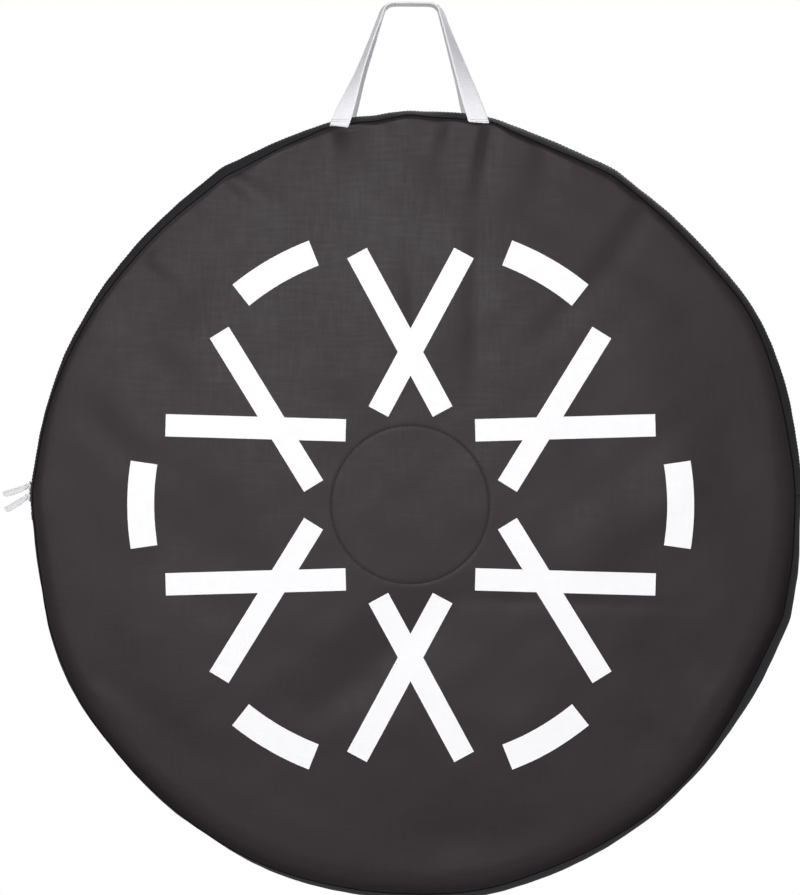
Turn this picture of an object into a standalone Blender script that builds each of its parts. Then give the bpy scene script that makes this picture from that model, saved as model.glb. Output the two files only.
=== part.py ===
"""A padded bag for one bicycle wheel: two crowned fabric panels, a side band with a zip over its top half,
a hub patch behind each panel and a pair of webbing handles.

The front panel folds open along a straight line just above the two ends of the zip. Two sliders run round the
band on the hub's axis.
"""

import math

import bmesh
import bpy
from mathutils import Euler, Matrix, Vector

# Lengths are in metres. X runs to the right of the front, Y to the back and Z up. The origin is the top of
# the handles, where a hand or a hook takes the bag. Angles round the hub start at the right of the front.

# The bag over all
BAG_RADIUS = 0.380
BAG_DEPTH = 0.080
SEAM_INSET = 0.006
SEWN_GAP = 0.0003

# The padded panels
PANEL_WALL = 0.004
PANEL_CROWN = 0.012
HUB_PATCH_RADIUS = 0.077
HUB_PATCH_WALL = 0.0016
HUB_PATCH_MARGIN = 0.003

# The side band and the binding over the seams inside it
BAND_WALL = 0.002
BINDING_WIDTH = 0.008
BINDING_WALL = 0.0018

# The zip
ZIP_CHANNEL = 0.016
TAPE_LAP = 0.006
TAPE_WALL = 0.0008
COIL_WIDTH = 0.0024
COIL_HEIGHT = 0.0022
COIL_PITCH = 0.009
COIL_GAP = 0.0012
COIL_WIRE = 0.0010
LEFT_ZIP_END_RISE = -0.012
RIGHT_ZIP_END_RISE = 0.010
ZIP_TAB_WIDTH = 0.008
ZIP_TAB_REACH = 0.030
ZIP_TAB_WALL = 0.0012
ZIP_TAB_STATION_SHARES = (-1, -0.5, 0, 0.5, 1)

# The sliders
SLIDER_LENGTH = 0.0096
SLIDER_NOSE_SHARE = 0.62
SLIDER_BACK_SHARE = 0.8
SLIDER_SHOULDER_SHARE = 0.45
SLIDER_WAIST_SHARE = 0.35
SLIDER_POST_SHARE = 0.9
SLIDER_FLANGE_LENGTH_SHARE = 0.4
SLIDER_PLATE = 0.0010
SLIDER_CLEARANCE = 0.0003
SLIDER_FLANGE = 0.0009
SLIDER_POST_LENGTH = 0.0030
SLIDER_SPACING = 0.0004
LOWER_SLIDER_TRAVEL = 0.010
BRIDGE_WIDTH = 0.0018
BRIDGE_HOLE_RADIUS = 0.0016
BRIDGE_WALL = 0.0012
BRIDGE_SEAT_SHARE = 1 / 3

# The pulls
PULL_LENGTH = 0.0275
PULL_WIDTH = 0.0060
PULL_WALL = 0.0026
PULL_NECK_WIDTH = 0.0020
PULL_BAR = 0.0016
PULL_ARM = 0.0012
PULL_TAPER_LENGTH = 0.011
PULL_CLEARANCE = 0.00035
PULL_ROOT_SHARE = 0.9
PULL_TIP_SHARE = 0.8
PULL_CORNER_SHARE = 0.25
UPPER_PULL_DROOP = math.radians(20)
LOWER_PULL_DROOP = math.radians(36)

# The fold that the front opens on
FOLD_MARGIN = 0.004

# The handles
HANDLE_RISE = 0.108
HANDLE_WIDTH = 0.0195
HANDLE_WALL = 0.0020
HANDLE_FOOT_HALF_SPAN = 0.0675
HANDLE_BAR_HALF_SPAN = 0.0280
HANDLE_CORNER = 0.009
HANDLE_PARTING = 0.0010
HANDLE_TWIST_START_SHARE = 0.12
HANDLE_TWIST = math.radians(90)

# Facets
BAND_FACET = math.radians(3)
PANEL_SIDES = 72
PANEL_RINGS = 4
COIL_RINGS_PER_TURN = 2
LEG_STATIONS = 14
CORNER_STATIONS = 5
BRIDGE_STATIONS = 8
SHARP_EDGE = math.radians(35)

# Places that follow from the sizes
CENTRE_Z = -(BAG_RADIUS + HANDLE_RISE)
SEAM_RADIUS = BAG_RADIUS - SEAM_INSET
HALF_DEPTH = BAG_DEPTH / 2
BAND_EDGE = HALF_DEPTH - PANEL_WALL - SEWN_GAP
FLAT_RADIUS = HUB_PATCH_RADIUS + HUB_PATCH_MARGIN
HALF_CHANNEL = ZIP_CHANNEL / 2
COIL_INNER = COIL_GAP / 2
COIL_OUTER = COIL_INNER + COIL_WIDTH
TRACK_RADIUS = BAG_RADIUS - BAND_WALL - SEWN_GAP - TAPE_WALL / 2
BRIDGE_LIFT = BRIDGE_HOLE_RADIUS + SLIDER_CLEARANCE * BRIDGE_SEAT_SHARE
SLIDER_TOP = COIL_HEIGHT / 2 + SLIDER_CLEARANCE + SLIDER_PLATE
PULL_PIN_RADIUS = TRACK_RADIUS + SLIDER_TOP + BRIDGE_LIFT


def angle_at(rise, radius):
    """The angle of a point at this height over the hub, on the right-hand side of a circle."""
    return math.asin(rise / radius)


def turn(length):
    """The angle that a length along the zip takes up."""
    return length / TRACK_RADIUS


LEFT_ZIP_END = math.pi - angle_at(LEFT_ZIP_END_RISE, TRACK_RADIUS)
RIGHT_ZIP_END = angle_at(RIGHT_ZIP_END_RISE, TRACK_RADIUS)
LOWER_SLIDER_TURN = turn(LOWER_SLIDER_TRAVEL)
STOP_LENGTH = ZIP_TAB_WIDTH / 2 + SEWN_GAP
LOWER_SLIDER_ANGLE = LEFT_ZIP_END - turn(STOP_LENGTH + SLIDER_LENGTH / 2) - LOWER_SLIDER_TURN
UPPER_SLIDER_ANGLE = LOWER_SLIDER_ANGLE - turn(SLIDER_LENGTH + SLIDER_SPACING)
UPPER_SLIDER_END = RIGHT_ZIP_END + turn(STOP_LENGTH + SLIDER_LENGTH / 2)
HIGHEST_PARKED = max(
    TRACK_RADIUS * math.sin(UPPER_SLIDER_ANGLE - turn(SLIDER_LENGTH / 2)),
    TRACK_RADIUS * math.sin(UPPER_SLIDER_END + turn(SLIDER_LENGTH / 2)),
)
FOLD_RISE = HIGHEST_PARKED + FOLD_MARGIN
FOLD_Z = CENTRE_Z + FOLD_RISE
FOLD_Y = -(HALF_DEPTH + PANEL_CROWN)
HANDLE_FOOT_Y = HALF_DEPTH + SEWN_GAP + HANDLE_WALL / 2
HANDLE_FOOT_Z = CENTRE_Z + math.sqrt(SEAM_RADIUS**2 - HANDLE_FOOT_HALF_SPAN**2)
HANDLE_BAR_Y = (HANDLE_PARTING + HANDLE_WIDTH) / 2


def material(name, colour, roughness):
    """A plain Principled material."""
    made = bpy.data.materials.new(name)
    made.use_nodes = True
    shader = made.node_tree.nodes["Principled BSDF"]
    shader.inputs["Base Color"].default_value = (*colour, 1.0)
    shader.inputs["Roughness"].default_value = roughness
    made.diffuse_color = (*colour, 1.0)
    return made


PANEL_CLOTH = ("padded_polyester", (0.062, 0.054, 0.057), 0.85)
BAND_CLOTH = ("band_polyester", (0.040, 0.043, 0.041), 0.8)
LINING_CLOTH = ("binding_tape", (0.012, 0.012, 0.014), 0.85)
PATCH_SHEET = ("patch_vinyl", (0.020, 0.020, 0.022), 0.6)
TAPE_CLOTH = ("zip_tape", (0.014, 0.014, 0.016), 0.8)
COIL_NYLON = ("zip_coil_nylon", (0.018, 0.018, 0.020), 0.4)
HANDLE_WEBBING = ("ribbed_webbing", (0.78, 0.79, 0.83), 0.7)
SLIDER_METAL = ("slider_enamel", (0.70, 0.70, 0.72), 0.35)
PULL_RUBBER = ("pull_rubber", (0.80, 0.80, 0.81), 0.45)


def finish_object(name, mesh, look):
    """The mesh as a named object with a material of its own."""
    colour_name, colour, roughness = look
    mesh.materials.append(material(f"{name}_{colour_name}", colour, roughness))
    mesh.shade_smooth()
    mesh.set_sharp_from_angle(angle=SHARP_EDGE)
    made = bpy.data.objects.new(name, mesh)
    bpy.context.collection.objects.link(made)
    return made


def skinned(name, sections, look, round_hub=False, open_section=False):
    """One body skinned over a row of sections. It closes round the hub, or else both ends are capped.

    An open section has its two end loops capped instead, as a disc turned from a half outline needs.
    """
    shape = bmesh.new()
    rings = [[shape.verts.new(point) for point in section] for section in sections]
    pairs = list(zip(rings, rings[1:]))
    if round_hub:
        pairs.append((rings[-1], rings[0]))
    count = len(rings[0])
    for near, far in pairs:
        for i in range(count - 1 if open_section else count):
            j = (i + 1) % count
            shape.faces.new((near[i], near[j], far[j], far[i]))
    if open_section:
        shape.faces.new([ring[0] for ring in rings])
        shape.faces.new([ring[-1] for ring in rings])
    elif not round_hub:
        shape.faces.new(rings[0])
        shape.faces.new(rings[-1])
    bmesh.ops.recalc_face_normals(shape, faces=shape.faces)
    mesh = bpy.data.meshes.new(name)
    shape.to_mesh(mesh)
    shape.free()
    return finish_object(name, mesh, look)


def round_the_hub(depth, radius, angle):
    """The point at this depth and radius, at an angle round the hub."""
    return Vector((radius * math.cos(angle), depth, CENTRE_Z + radius * math.sin(angle)))


def at_angle(angle):
    """An end cut square to the band."""
    return lambda radius: angle


def at_fold(side, above):
    """An end cut along the fold, on the right (1) or left (-1), half a gap above it or below it."""
    rise = FOLD_RISE + (SEWN_GAP / 2 if above else -SEWN_GAP / 2)
    if side > 0:
        return lambda radius: angle_at(rise, radius)
    return lambda radius: math.pi - angle_at(rise, radius)


def arc_sections(outline, start, end, facet=BAND_FACET):
    """Sections of an outline of (depth, radius) points, from one end cut to the other."""
    reach = end(BAG_RADIUS) - start(BAG_RADIUS)
    steps = max(1, round(abs(reach) / facet))
    return [
        [
            round_the_hub(depth, radius, start(radius) + (end(radius) - start(radius)) * i / steps)
            for depth, radius in outline
        ]
        for i in range(steps + 1)
    ]


def band_radius(depth):
    """The outer radius of the side band, fullest at mid-depth."""
    return BAG_RADIUS - SEAM_INSET * (depth / BAND_EDGE) ** 2


def band_outline(low, high, points):
    """The wall of the side band between two depths, as (depth, radius) points."""
    depths = [low + (high - low) * i / (points - 1) for i in range(points)]
    outer = [(depth, band_radius(depth)) for depth in depths]
    inner = [(depth, band_radius(depth) - BAND_WALL) for depth in reversed(depths)]
    return outer + inner


def tape_outline(side):
    """A zip tape, from beside the coil to its edge under the strip of the side band."""
    near = side * (COIL_OUTER + SEWN_GAP)
    far = side * (HALF_CHANNEL + TAPE_LAP)
    drop = BAG_RADIUS - band_radius(far) + SEWN_GAP / 2
    half = TAPE_WALL / 2
    return [
        (near, TRACK_RADIUS + half),
        (far, TRACK_RADIUS - drop + half),
        (far, TRACK_RADIUS - drop - half),
        (near, TRACK_RADIUS - half),
    ]


def coil_sections(side, start, end):
    """A zip coil: wide turns with narrow necks of wire between them."""
    reach = end(BAG_RADIUS) - start(BAG_RADIUS)
    turns = max(1, round(abs(reach) * TRACK_RADIUS / COIL_PITCH))
    middle = COIL_INNER + COIL_WIDTH / 2
    sections = []
    steps = turns * COIL_RINGS_PER_TURN
    for i in range(steps + 1):
        wide = i % COIL_RINGS_PER_TURN == (1 if side > 0 else 0)
        half_width = COIL_WIDTH / 2 if wide else COIL_WIRE / 2
        half_height = COIL_HEIGHT / 2 if wide else COIL_WIRE / 2
        section = []
        for across, up in ((-1, 1), (1, 1), (1, -1), (-1, -1)):
            depth = side * (middle + across * half_width)
            radius = TRACK_RADIUS + up * half_height
            angle = start(radius) + (end(radius) - start(radius)) * i / steps
            section.append(round_the_hub(depth, radius, angle))
        sections.append(section)
    return sections


def crown_depth(radius):
    """How far a panel stands out from its seam: flat over the hub, then falling away to the seam."""
    out = max(0.0, (radius - FLAT_RADIUS) / (SEAM_RADIUS - FLAT_RADIUS))
    return PANEL_CROWN * (1 - out**2)


def panel(name, side):
    """A padded panel, crowned, with a flat middle."""
    radii = [
        FLAT_RADIUS + (SEAM_RADIUS - FLAT_RADIUS) * i / PANEL_RINGS for i in range(PANEL_RINGS + 1)
    ]
    outer = [(side * (HALF_DEPTH + crown_depth(radius)), radius) for radius in radii]
    inner = [(depth - side * PANEL_WALL, radius) for depth, radius in reversed(outer)]
    sections = [
        [round_the_hub(depth, radius, math.tau * i / PANEL_SIDES) for depth, radius in outer + inner]
        for i in range(PANEL_SIDES)
    ]
    return skinned(name, sections, PANEL_CLOTH, round_hub=True, open_section=True)


def hub_patch(name, side):
    """A stiff round patch sewn to the inside of a panel, over the end of the hub."""
    face = HALF_DEPTH + PANEL_CROWN - PANEL_WALL - SEWN_GAP
    outline = [(side * face, HUB_PATCH_RADIUS), (side * (face - HUB_PATCH_WALL), HUB_PATCH_RADIUS)]
    sides = PANEL_SIDES // 2
    sections = [
        [round_the_hub(depth, radius, math.tau * i / sides) for depth, radius in outline]
        for i in range(sides)
    ]
    return skinned(name, sections, PATCH_SHEET, round_hub=True, open_section=True)


def keep_side_of_fold(made, above):
    """Cuts an object along the fold and keeps what lies above it, or below it."""
    level = FOLD_Z + (SEWN_GAP / 2 if above else -SEWN_GAP / 2)
    shape = bmesh.new()
    shape.from_mesh(made.data)
    bmesh.ops.bisect_plane(
        shape,
        geom=[*shape.verts, *shape.edges, *shape.faces],
        plane_co=(0, 0, level),
        plane_no=(0, 0, -1 if above else 1),
        clear_outer=True,
    )
    rim = [edge for edge in shape.edges if edge.is_boundary]
    bmesh.ops.holes_fill(shape, edges=rim, sides=0)
    bmesh.ops.recalc_face_normals(shape, faces=shape.faces)
    shape.to_mesh(made.data)
    shape.free()
    return made


def binding_outline(side):
    """The bound seam allowance, in the corner between a panel and the side band."""
    near = side * (HALF_DEPTH - PANEL_WALL - SEWN_GAP)
    far = near - side * BINDING_WIDTH
    outer = band_radius(BAND_EDGE) - BAND_WALL - SEWN_GAP
    return [(near, outer), (far, outer), (far, outer - BINDING_WALL), (near, outer - BINDING_WALL)]


def zip_tab(name, angle):
    """A folded tab sewn over one end of the zip, across both strips of the side band."""
    half = ZIP_TAB_REACH / 2
    depths = [half * share for share in ZIP_TAB_STATION_SHARES]
    lift = SEWN_GAP * 2
    outer = [(depth, band_radius(depth) + lift + ZIP_TAB_WALL) for depth in depths]
    inner = [(depth, band_radius(depth) + lift) for depth in reversed(depths)]
    half_turn = turn(ZIP_TAB_WIDTH / 2)
    sections = arc_sections(outer + inner, at_angle(angle - half_turn), at_angle(angle + half_turn))
    return skinned(name, sections, LINING_CLOTH)


def block(low, high):
    """A box in a new mesh, for a union."""
    shape = bmesh.new()
    bmesh.ops.create_cube(shape, size=1.0)
    for vertex in shape.verts:
        for axis in range(3):
            vertex.co[axis] = low[axis] if vertex.co[axis] < 0 else high[axis]
    mesh = bpy.data.meshes.new("block")
    shape.to_mesh(mesh)
    shape.free()
    return mesh


def prism(outline, low, high, axis):
    """An outline drawn out along an axis (0, 1 or 2), from low to high, as a new mesh."""
    first, second = [other for other in range(3) if other != axis]
    shape = bmesh.new()
    ends = []
    for level in (low, high):
        ring = []
        for a, b in outline:
            point = Vector((0, 0, 0))
            point[first] = a
            point[second] = b
            point[axis] = level
            ring.append(shape.verts.new(point))
        ends.append(ring)
    count = len(outline)
    for i in range(count):
        j = (i + 1) % count
        shape.faces.new((ends[0][i], ends[0][j], ends[1][j], ends[1][i]))
    shape.faces.new(ends[0])
    shape.faces.new(ends[1])
    bmesh.ops.recalc_face_normals(shape, faces=shape.faces)
    mesh = bpy.data.meshes.new("prism")
    shape.to_mesh(mesh)
    shape.free()
    return mesh


def union(name, meshes, look):
    """One body joined from overlapping meshes."""
    base = bpy.data.objects.new(f"{name}_base", meshes[0])
    bpy.context.collection.objects.link(base)
    helpers = []
    for number, mesh in enumerate(meshes[1:]):
        helper = bpy.data.objects.new(f"{name}_helper_{number}", mesh)
        bpy.context.collection.objects.link(helper)
        helpers.append(helper)
        joined = base.modifiers.new(f"join_{number}", "BOOLEAN")
        joined.operation = "UNION"
        joined.object = helper
    graph = bpy.context.evaluated_depsgraph_get()
    mesh = bpy.data.meshes.new_from_object(base.evaluated_get(graph))
    mesh.name = name
    for helper in (base, *helpers):
        bpy.data.objects.remove(helper)
    return finish_object(name, mesh, look)


def slider(name, angle):
    """A two-plate slider with a post between the coils and a bridge for its pull.

    It is built about the hub's axis with the zip at +X, and then turned to its place. There X is outwards,
    Y across the zip and Z along it.
    """
    inner = COIL_HEIGHT / 2 + SLIDER_CLEARANCE
    half_width = COIL_OUTER + SLIDER_CLEARANCE + SLIDER_FLANGE
    half_length = SLIDER_LENGTH / 2
    nose = half_width * SLIDER_NOSE_SHARE
    back = half_width * SLIDER_BACK_SHARE
    shoulder = half_length * SLIDER_SHOULDER_SHARE
    waist = half_length * SLIDER_WAIST_SHARE
    plan = [
        (-half_width, shoulder),
        (-back, half_length),
        (back, half_length),
        (half_width, shoulder),
        (half_width, -waist),
        (nose, -half_length),
        (-nose, -half_length),
        (-half_width, -waist),
    ]
    top = prism(plan, TRACK_RADIUS + inner, TRACK_RADIUS + SLIDER_TOP, 0)
    bottom = prism(plan, TRACK_RADIUS - SLIDER_TOP, TRACK_RADIUS - inner, 0)
    overrun = SLIDER_PLATE / 2
    post_half = COIL_INNER - SLIDER_CLEARANCE
    post_end = half_length * SLIDER_POST_SHARE
    post = block(
        (TRACK_RADIUS - inner - overrun, -post_half, post_end - SLIDER_POST_LENGTH),
        (TRACK_RADIUS + inner + overrun, post_half, post_end),
    )
    meshes = [top, bottom, post]
    slot = TAPE_WALL + SLIDER_CLEARANCE * 2
    flange_length = half_length * SLIDER_FLANGE_LENGTH_SHARE
    for side in (-1, 1):
        edge = sorted((side * half_width, side * (half_width - SLIDER_FLANGE + SLIDER_CLEARANCE / 2)))
        for up in (-1, 1):
            span = sorted((TRACK_RADIUS + up * slot / 2, TRACK_RADIUS + up * (inner + overrun)))
            meshes.append(
                block((span[0], edge[0], -flange_length), (span[1], edge[1], flange_length))
            )
    hole = BRIDGE_HOLE_RADIUS
    crown = hole + BRIDGE_WALL
    foot = -(BRIDGE_LIFT + overrun)
    arc = [math.pi * i / BRIDGE_STATIONS for i in range(BRIDGE_STATIONS + 1)]
    outer = [(crown * math.sin(a), crown * math.cos(a)) for a in arc]
    inside = [(hole * math.sin(a), hole * math.cos(a)) for a in reversed(arc)]
    bridge = [(foot, crown), *outer, (foot, -crown), (foot, -hole), *inside, (foot, hole)]
    bridge = [(PULL_PIN_RADIUS + up, along) for up, along in bridge]
    meshes.append(prism(bridge, -BRIDGE_WIDTH / 2, BRIDGE_WIDTH / 2, 1))
    made = union(name, meshes, SLIDER_METAL)
    made.location = (0, 0, CENTRE_Z)
    made.rotation_euler = Euler((0, -angle, 0))
    return made


def pull(name, angle, droop):
    """A moulded pull with an eye round the slider's bridge.

    It is built about its own pin with the pull along +X and the zip along Z, and then turned to its place.
    """
    hole_end = BRIDGE_HOLE_RADIUS + BRIDGE_WALL + PULL_CLEARANCE
    hole_half = BRIDGE_WIDTH / 2 + PULL_CLEARANCE
    bar_half = PULL_BAR / 2
    eye_half = hole_half + PULL_ARM
    neck_half = PULL_NECK_WIDTH / 2
    eye_end = hole_end + PULL_ARM
    meshes = [block((-bar_half, -eye_half, -neck_half), (bar_half, eye_half, neck_half))]
    for side in (-1, 1):
        reach = sorted((side * hole_half, side * eye_half))
        meshes.append(block((-bar_half / 2, reach[0], -neck_half), (eye_end, reach[1], neck_half)))
    set_in = PULL_ARM * PULL_CORNER_SHARE
    heel = (hole_end, -eye_half + set_in, -neck_half)
    meshes.append(block(heel, (eye_end + PULL_ARM, eye_half - set_in, neck_half)))
    edge = PULL_WIDTH / 2
    tip = edge * PULL_TIP_SHARE
    root = neck_half * PULL_ROOT_SHARE
    start = hole_end + set_in
    widest = eye_end + PULL_TAPER_LENGTH
    corner = PULL_LENGTH - PULL_WALL * PULL_CORNER_SHARE
    blade = [
        (start, root),
        (widest, edge),
        (corner, edge),
        (PULL_LENGTH, tip),
        (PULL_LENGTH, -tip),
        (corner, -edge),
        (widest, -edge),
        (start, -root),
    ]
    meshes.append(prism(blade, -PULL_WALL / 2, PULL_WALL / 2, 1))
    made = union(name, meshes, PULL_RUBBER)
    made.location = round_the_hub(0, PULL_PIN_RADIUS, angle)
    made.rotation_euler = Euler((0, -(angle + droop), 0))
    return made


def smooth(share):
    """An even start and stop between 0 and 1."""
    share = min(1.0, max(0.0, share))
    return share * share * (3 - 2 * share)


def handle_route(side):
    """Centre points of one handle's webbing from its left foot to its right, each with its share of twist."""
    foot = Vector((-HANDLE_FOOT_HALF_SPAN, side * HANDLE_FOOT_Y, HANDLE_FOOT_Z))
    top = -HANDLE_WALL / 2
    corner = Vector((-HANDLE_BAR_HALF_SPAN, side * HANDLE_BAR_Y, top))
    up = (foot - corner).normalized()
    leg_end = corner + up * HANDLE_CORNER
    bar_start = corner + Vector((HANDLE_CORNER, 0, 0))
    route = []
    for i in range(LEG_STATIONS + 1):
        share = i / LEG_STATIONS
        route.append((foot.lerp(leg_end, share), share))
    for i in range(1, CORNER_STATIONS + 1):
        share = i / CORNER_STATIONS
        bend = leg_end.lerp(corner, share).lerp(corner.lerp(bar_start, share), share)
        route.append((bend, 1.0))
    mirrored = [(Vector((-point.x, point.y, point.z)), share) for point, share in reversed(route)]
    return route + mirrored


def handle(name, side):
    """A webbing loop: flat to the front at its feet, and a quarter turn on at the top."""
    route = handle_route(side)
    points = [point for point, _ in route]
    across_depth = Vector((0, 1, 0))
    foot_slope = math.asin(HANDLE_FOOT_HALF_SPAN / SEAM_RADIUS)
    sections = []
    for i, (point, share) in enumerate(route):
        along = (points[min(i + 1, len(points) - 1)] - points[max(i - 1, 0)]).normalized()
        outwards = along.cross(across_depth).normalized()
        turned = smooth((share - HANDLE_TWIST_START_SHARE) / (1 - HANDLE_TWIST_START_SHARE))
        freed = smooth(share / HANDLE_TWIST_START_SHARE)
        twist = turned * HANDLE_TWIST
        width = outwards * math.cos(twist) + across_depth * math.sin(twist)
        on_the_left = 1 if i < len(route) / 2 else -1
        seam_line = Vector((-on_the_left * math.cos(foot_slope), 0, -math.sin(foot_slope)))
        width = width.lerp(seam_line, 1 - freed)
        if share > 0:
            width = (width - along * width.dot(along) * freed).normalized()
        through = along.cross(width).normalized()
        half_width = width * HANDLE_WIDTH / 2
        half_wall = through * HANDLE_WALL / 2
        sections.append(
            [
                point + half_width + half_wall,
                point - half_width + half_wall,
                point - half_width - half_wall,
                point + half_width - half_wall,
            ]
        )
    return skinned(name, sections, HANDLE_WEBBING)


def hinge_on(name, place, pieces):
    """An empty on a hinge's axis that carries its pieces."""
    pivot = bpy.data.objects.new(name, None)
    pivot.location = place
    bpy.context.collection.objects.link(pivot)
    bpy.context.view_layer.update()
    for piece in pieces:
        piece.parent = pivot
        piece.matrix_parent_inverse = Matrix.Translation(place).inverted()
    return pivot


def build_panels():
    """Both panels and their hub patches. The front ones are parted at the fold."""
    panel("back_panel", 1)
    hub_patch("back_hub_patch", 1)
    keep_side_of_fold(panel("front_panel_lower", -1), above=False)
    keep_side_of_fold(hub_patch("front_hub_patch_lower", -1), above=False)
    return [
        keep_side_of_fold(panel("front_panel_upper", -1), above=True),
        keep_side_of_fold(hub_patch("front_hub_patch_upper", -1), above=True),
    ]


def build_band():
    """The side band: full depth below the zip's ends, and a strip each side of the zip above them."""
    right_end = at_angle(RIGHT_ZIP_END + turn(SEWN_GAP))
    left_end = at_angle(LEFT_ZIP_END - turn(SEWN_GAP))
    lower = arc_sections(
        band_outline(-BAND_EDGE, BAND_EDGE, 7), at_angle(LEFT_ZIP_END), at_angle(math.tau + RIGHT_ZIP_END)
    )
    skinned("lower_gusset", lower, BAND_CLOTH)
    rear = arc_sections(band_outline(HALF_CHANNEL, BAND_EDGE, 4), right_end, left_end)
    skinned("rear_gusset_strip", rear, BAND_CLOTH)
    front = band_outline(-BAND_EDGE, -HALF_CHANNEL, 4)
    skinned("front_strip_right_end", arc_sections(front, right_end, at_fold(1, False)), BAND_CLOTH)
    skinned("front_strip_left_end", arc_sections(front, at_fold(-1, False), left_end), BAND_CLOTH)
    moving = arc_sections(front, at_fold(1, True), at_fold(-1, True))
    return [skinned("front_gusset_strip", moving, BAND_CLOTH)]


def build_zip():
    """Both tapes and both coils. The front ones are parted at the fold, short of the parked sliders."""
    right_end = at_angle(RIGHT_ZIP_END + turn(SEWN_GAP))
    left_end = at_angle(LEFT_ZIP_END - turn(SEWN_GAP))
    skinned("rear_zip_tape", arc_sections(tape_outline(1), right_end, left_end), TAPE_CLOTH)
    skinned("rear_zip_coil", coil_sections(1, right_end, left_end), COIL_NYLON)
    for name, coil_name, start, end in (
        ("front_tape_right_end", "front_coil_right_end", right_end, at_fold(1, False)),
        ("front_tape_left_end", "front_coil_left_end", at_fold(-1, False), left_end),
    ):
        skinned(name, arc_sections(tape_outline(-1), start, end), TAPE_CLOTH)
        skinned(coil_name, coil_sections(-1, start, end), COIL_NYLON)
    zip_tab("right_zip_tab", RIGHT_ZIP_END)
    zip_tab("left_zip_tab", LEFT_ZIP_END)
    start, end = at_fold(1, True), at_fold(-1, True)
    return [
        skinned("front_zip_tape", arc_sections(tape_outline(-1), start, end), TAPE_CLOTH),
        skinned("front_zip_coil", coil_sections(-1, start, end), COIL_NYLON),
    ]


def build_bindings():
    """The bound seam allowances inside. The front one is parted at the fold."""
    facet = BAND_FACET * 2
    whole = arc_sections(binding_outline(1), at_angle(0), at_angle(math.tau - facet), facet)
    skinned("back_binding", whole, LINING_CLOTH, round_hub=True)
    front = binding_outline(-1)
    end = at_fold(1, False)
    lower = arc_sections(front, at_fold(-1, False), lambda radius: math.tau + end(radius), facet)
    skinned("front_binding_lower", lower, LINING_CLOTH)
    upper = arc_sections(front, at_fold(1, True), at_fold(-1, True), facet)
    return [skinned("front_binding_upper", upper, LINING_CLOTH)]


def main():
    """Builds the whole bag, closed, as it hangs from its handles."""
    for leftover in list(bpy.data.objects):
        bpy.data.objects.remove(leftover)
    flap = build_panels() + build_band() + build_zip() + build_bindings()
    flap_hinge = hinge_on("flap_hinge", Vector((0, FOLD_Y, FOLD_Z)), flap)
    front_foot = Vector((0, -HANDLE_FOOT_Y, HANDLE_FOOT_Z))
    front_hinge = hinge_on("front_handle_hinge", front_foot, [handle("front_handle", -1)])
    front_hinge.parent = flap_hinge
    front_hinge.matrix_parent_inverse = flap_hinge.matrix_world.inverted()
    rear_foot = Vector((0, HANDLE_FOOT_Y, HANDLE_FOOT_Z))
    hinge_on("rear_handle_hinge", rear_foot, [handle("rear_handle", 1)])
    slider("upper_slider", UPPER_SLIDER_ANGLE)
    pull("upper_pull", UPPER_SLIDER_ANGLE, UPPER_PULL_DROOP)
    slider("lower_slider", LOWER_SLIDER_ANGLE)
    pull("lower_pull", LOWER_SLIDER_ANGLE, LOWER_PULL_DROOP)


main()
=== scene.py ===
"""The looks of a padded bag for one bicycle wheel: two cloth panels, a zipped side band and webbing handles.

Lengths are in metres in the model's own frame: X to the right of the front, Y to the back, Z up. Angles round
the hub start at 3 o'clock and run anticlockwise, as seen from the front.
"""

import math

import bmesh
import bpy
import numpy as np
from mathutils import Matrix, Vector

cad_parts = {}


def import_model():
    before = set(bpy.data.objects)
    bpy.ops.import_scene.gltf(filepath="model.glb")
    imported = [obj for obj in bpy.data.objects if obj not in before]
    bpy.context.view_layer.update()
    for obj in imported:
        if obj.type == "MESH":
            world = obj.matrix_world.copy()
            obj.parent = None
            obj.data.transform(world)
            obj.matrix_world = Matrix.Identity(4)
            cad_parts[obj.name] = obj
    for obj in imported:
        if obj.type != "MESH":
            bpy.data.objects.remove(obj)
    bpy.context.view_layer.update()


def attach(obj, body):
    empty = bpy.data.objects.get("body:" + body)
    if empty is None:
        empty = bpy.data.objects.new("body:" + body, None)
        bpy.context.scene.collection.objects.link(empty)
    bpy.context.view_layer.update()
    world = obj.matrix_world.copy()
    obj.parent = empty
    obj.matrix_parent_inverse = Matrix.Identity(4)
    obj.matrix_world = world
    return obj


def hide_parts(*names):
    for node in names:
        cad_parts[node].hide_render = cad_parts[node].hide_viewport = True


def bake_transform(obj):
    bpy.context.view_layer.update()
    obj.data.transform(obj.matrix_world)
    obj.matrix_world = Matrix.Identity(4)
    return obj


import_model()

MILLIMETRE = 0.001
FRONT, BACK = -1, 1

# The bag
HUB_HEIGHT = -0.488
HUB_SHIFT = -0.0050
BAG_RADIUS = 0.3812
MEAN_SEAM_RADIUS = 0.3700
SEAM_DEPTH = 0.0368
SEAM_DROP_MM = 1.2
SEAM_SHARE = 0.9912
# Painted seam shadow: the radius of the near-black cord laid in each seam's valley
SEAM_SHADOW_RADIUS = 0.0008
# How far the near-black cord of painted seam shadow lies below its seam and outside it
SEAM_SHADOW_DROP, SEAM_SHADOW_SHIFT = 0.0003, 0.0002
PANEL_DEPTH = 0.0521
PANEL_FLAT_RADIUS = 0.078
PANEL_WALL = 0.0036
PANEL_TURNS = 400
PANEL_SEEDS = {FRONT: 11, BACK: 23}
CROWN_POWER = 2.6
HUB_STITCH_RADIUS = 0.0762
# How deep and how wide the hub's stitches draw the cloth in, and how high their thread lies
STITCH_SINK, STITCH_REACH, STITCH_LIFT = 0.00036, 0.0011, 0.0001
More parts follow.
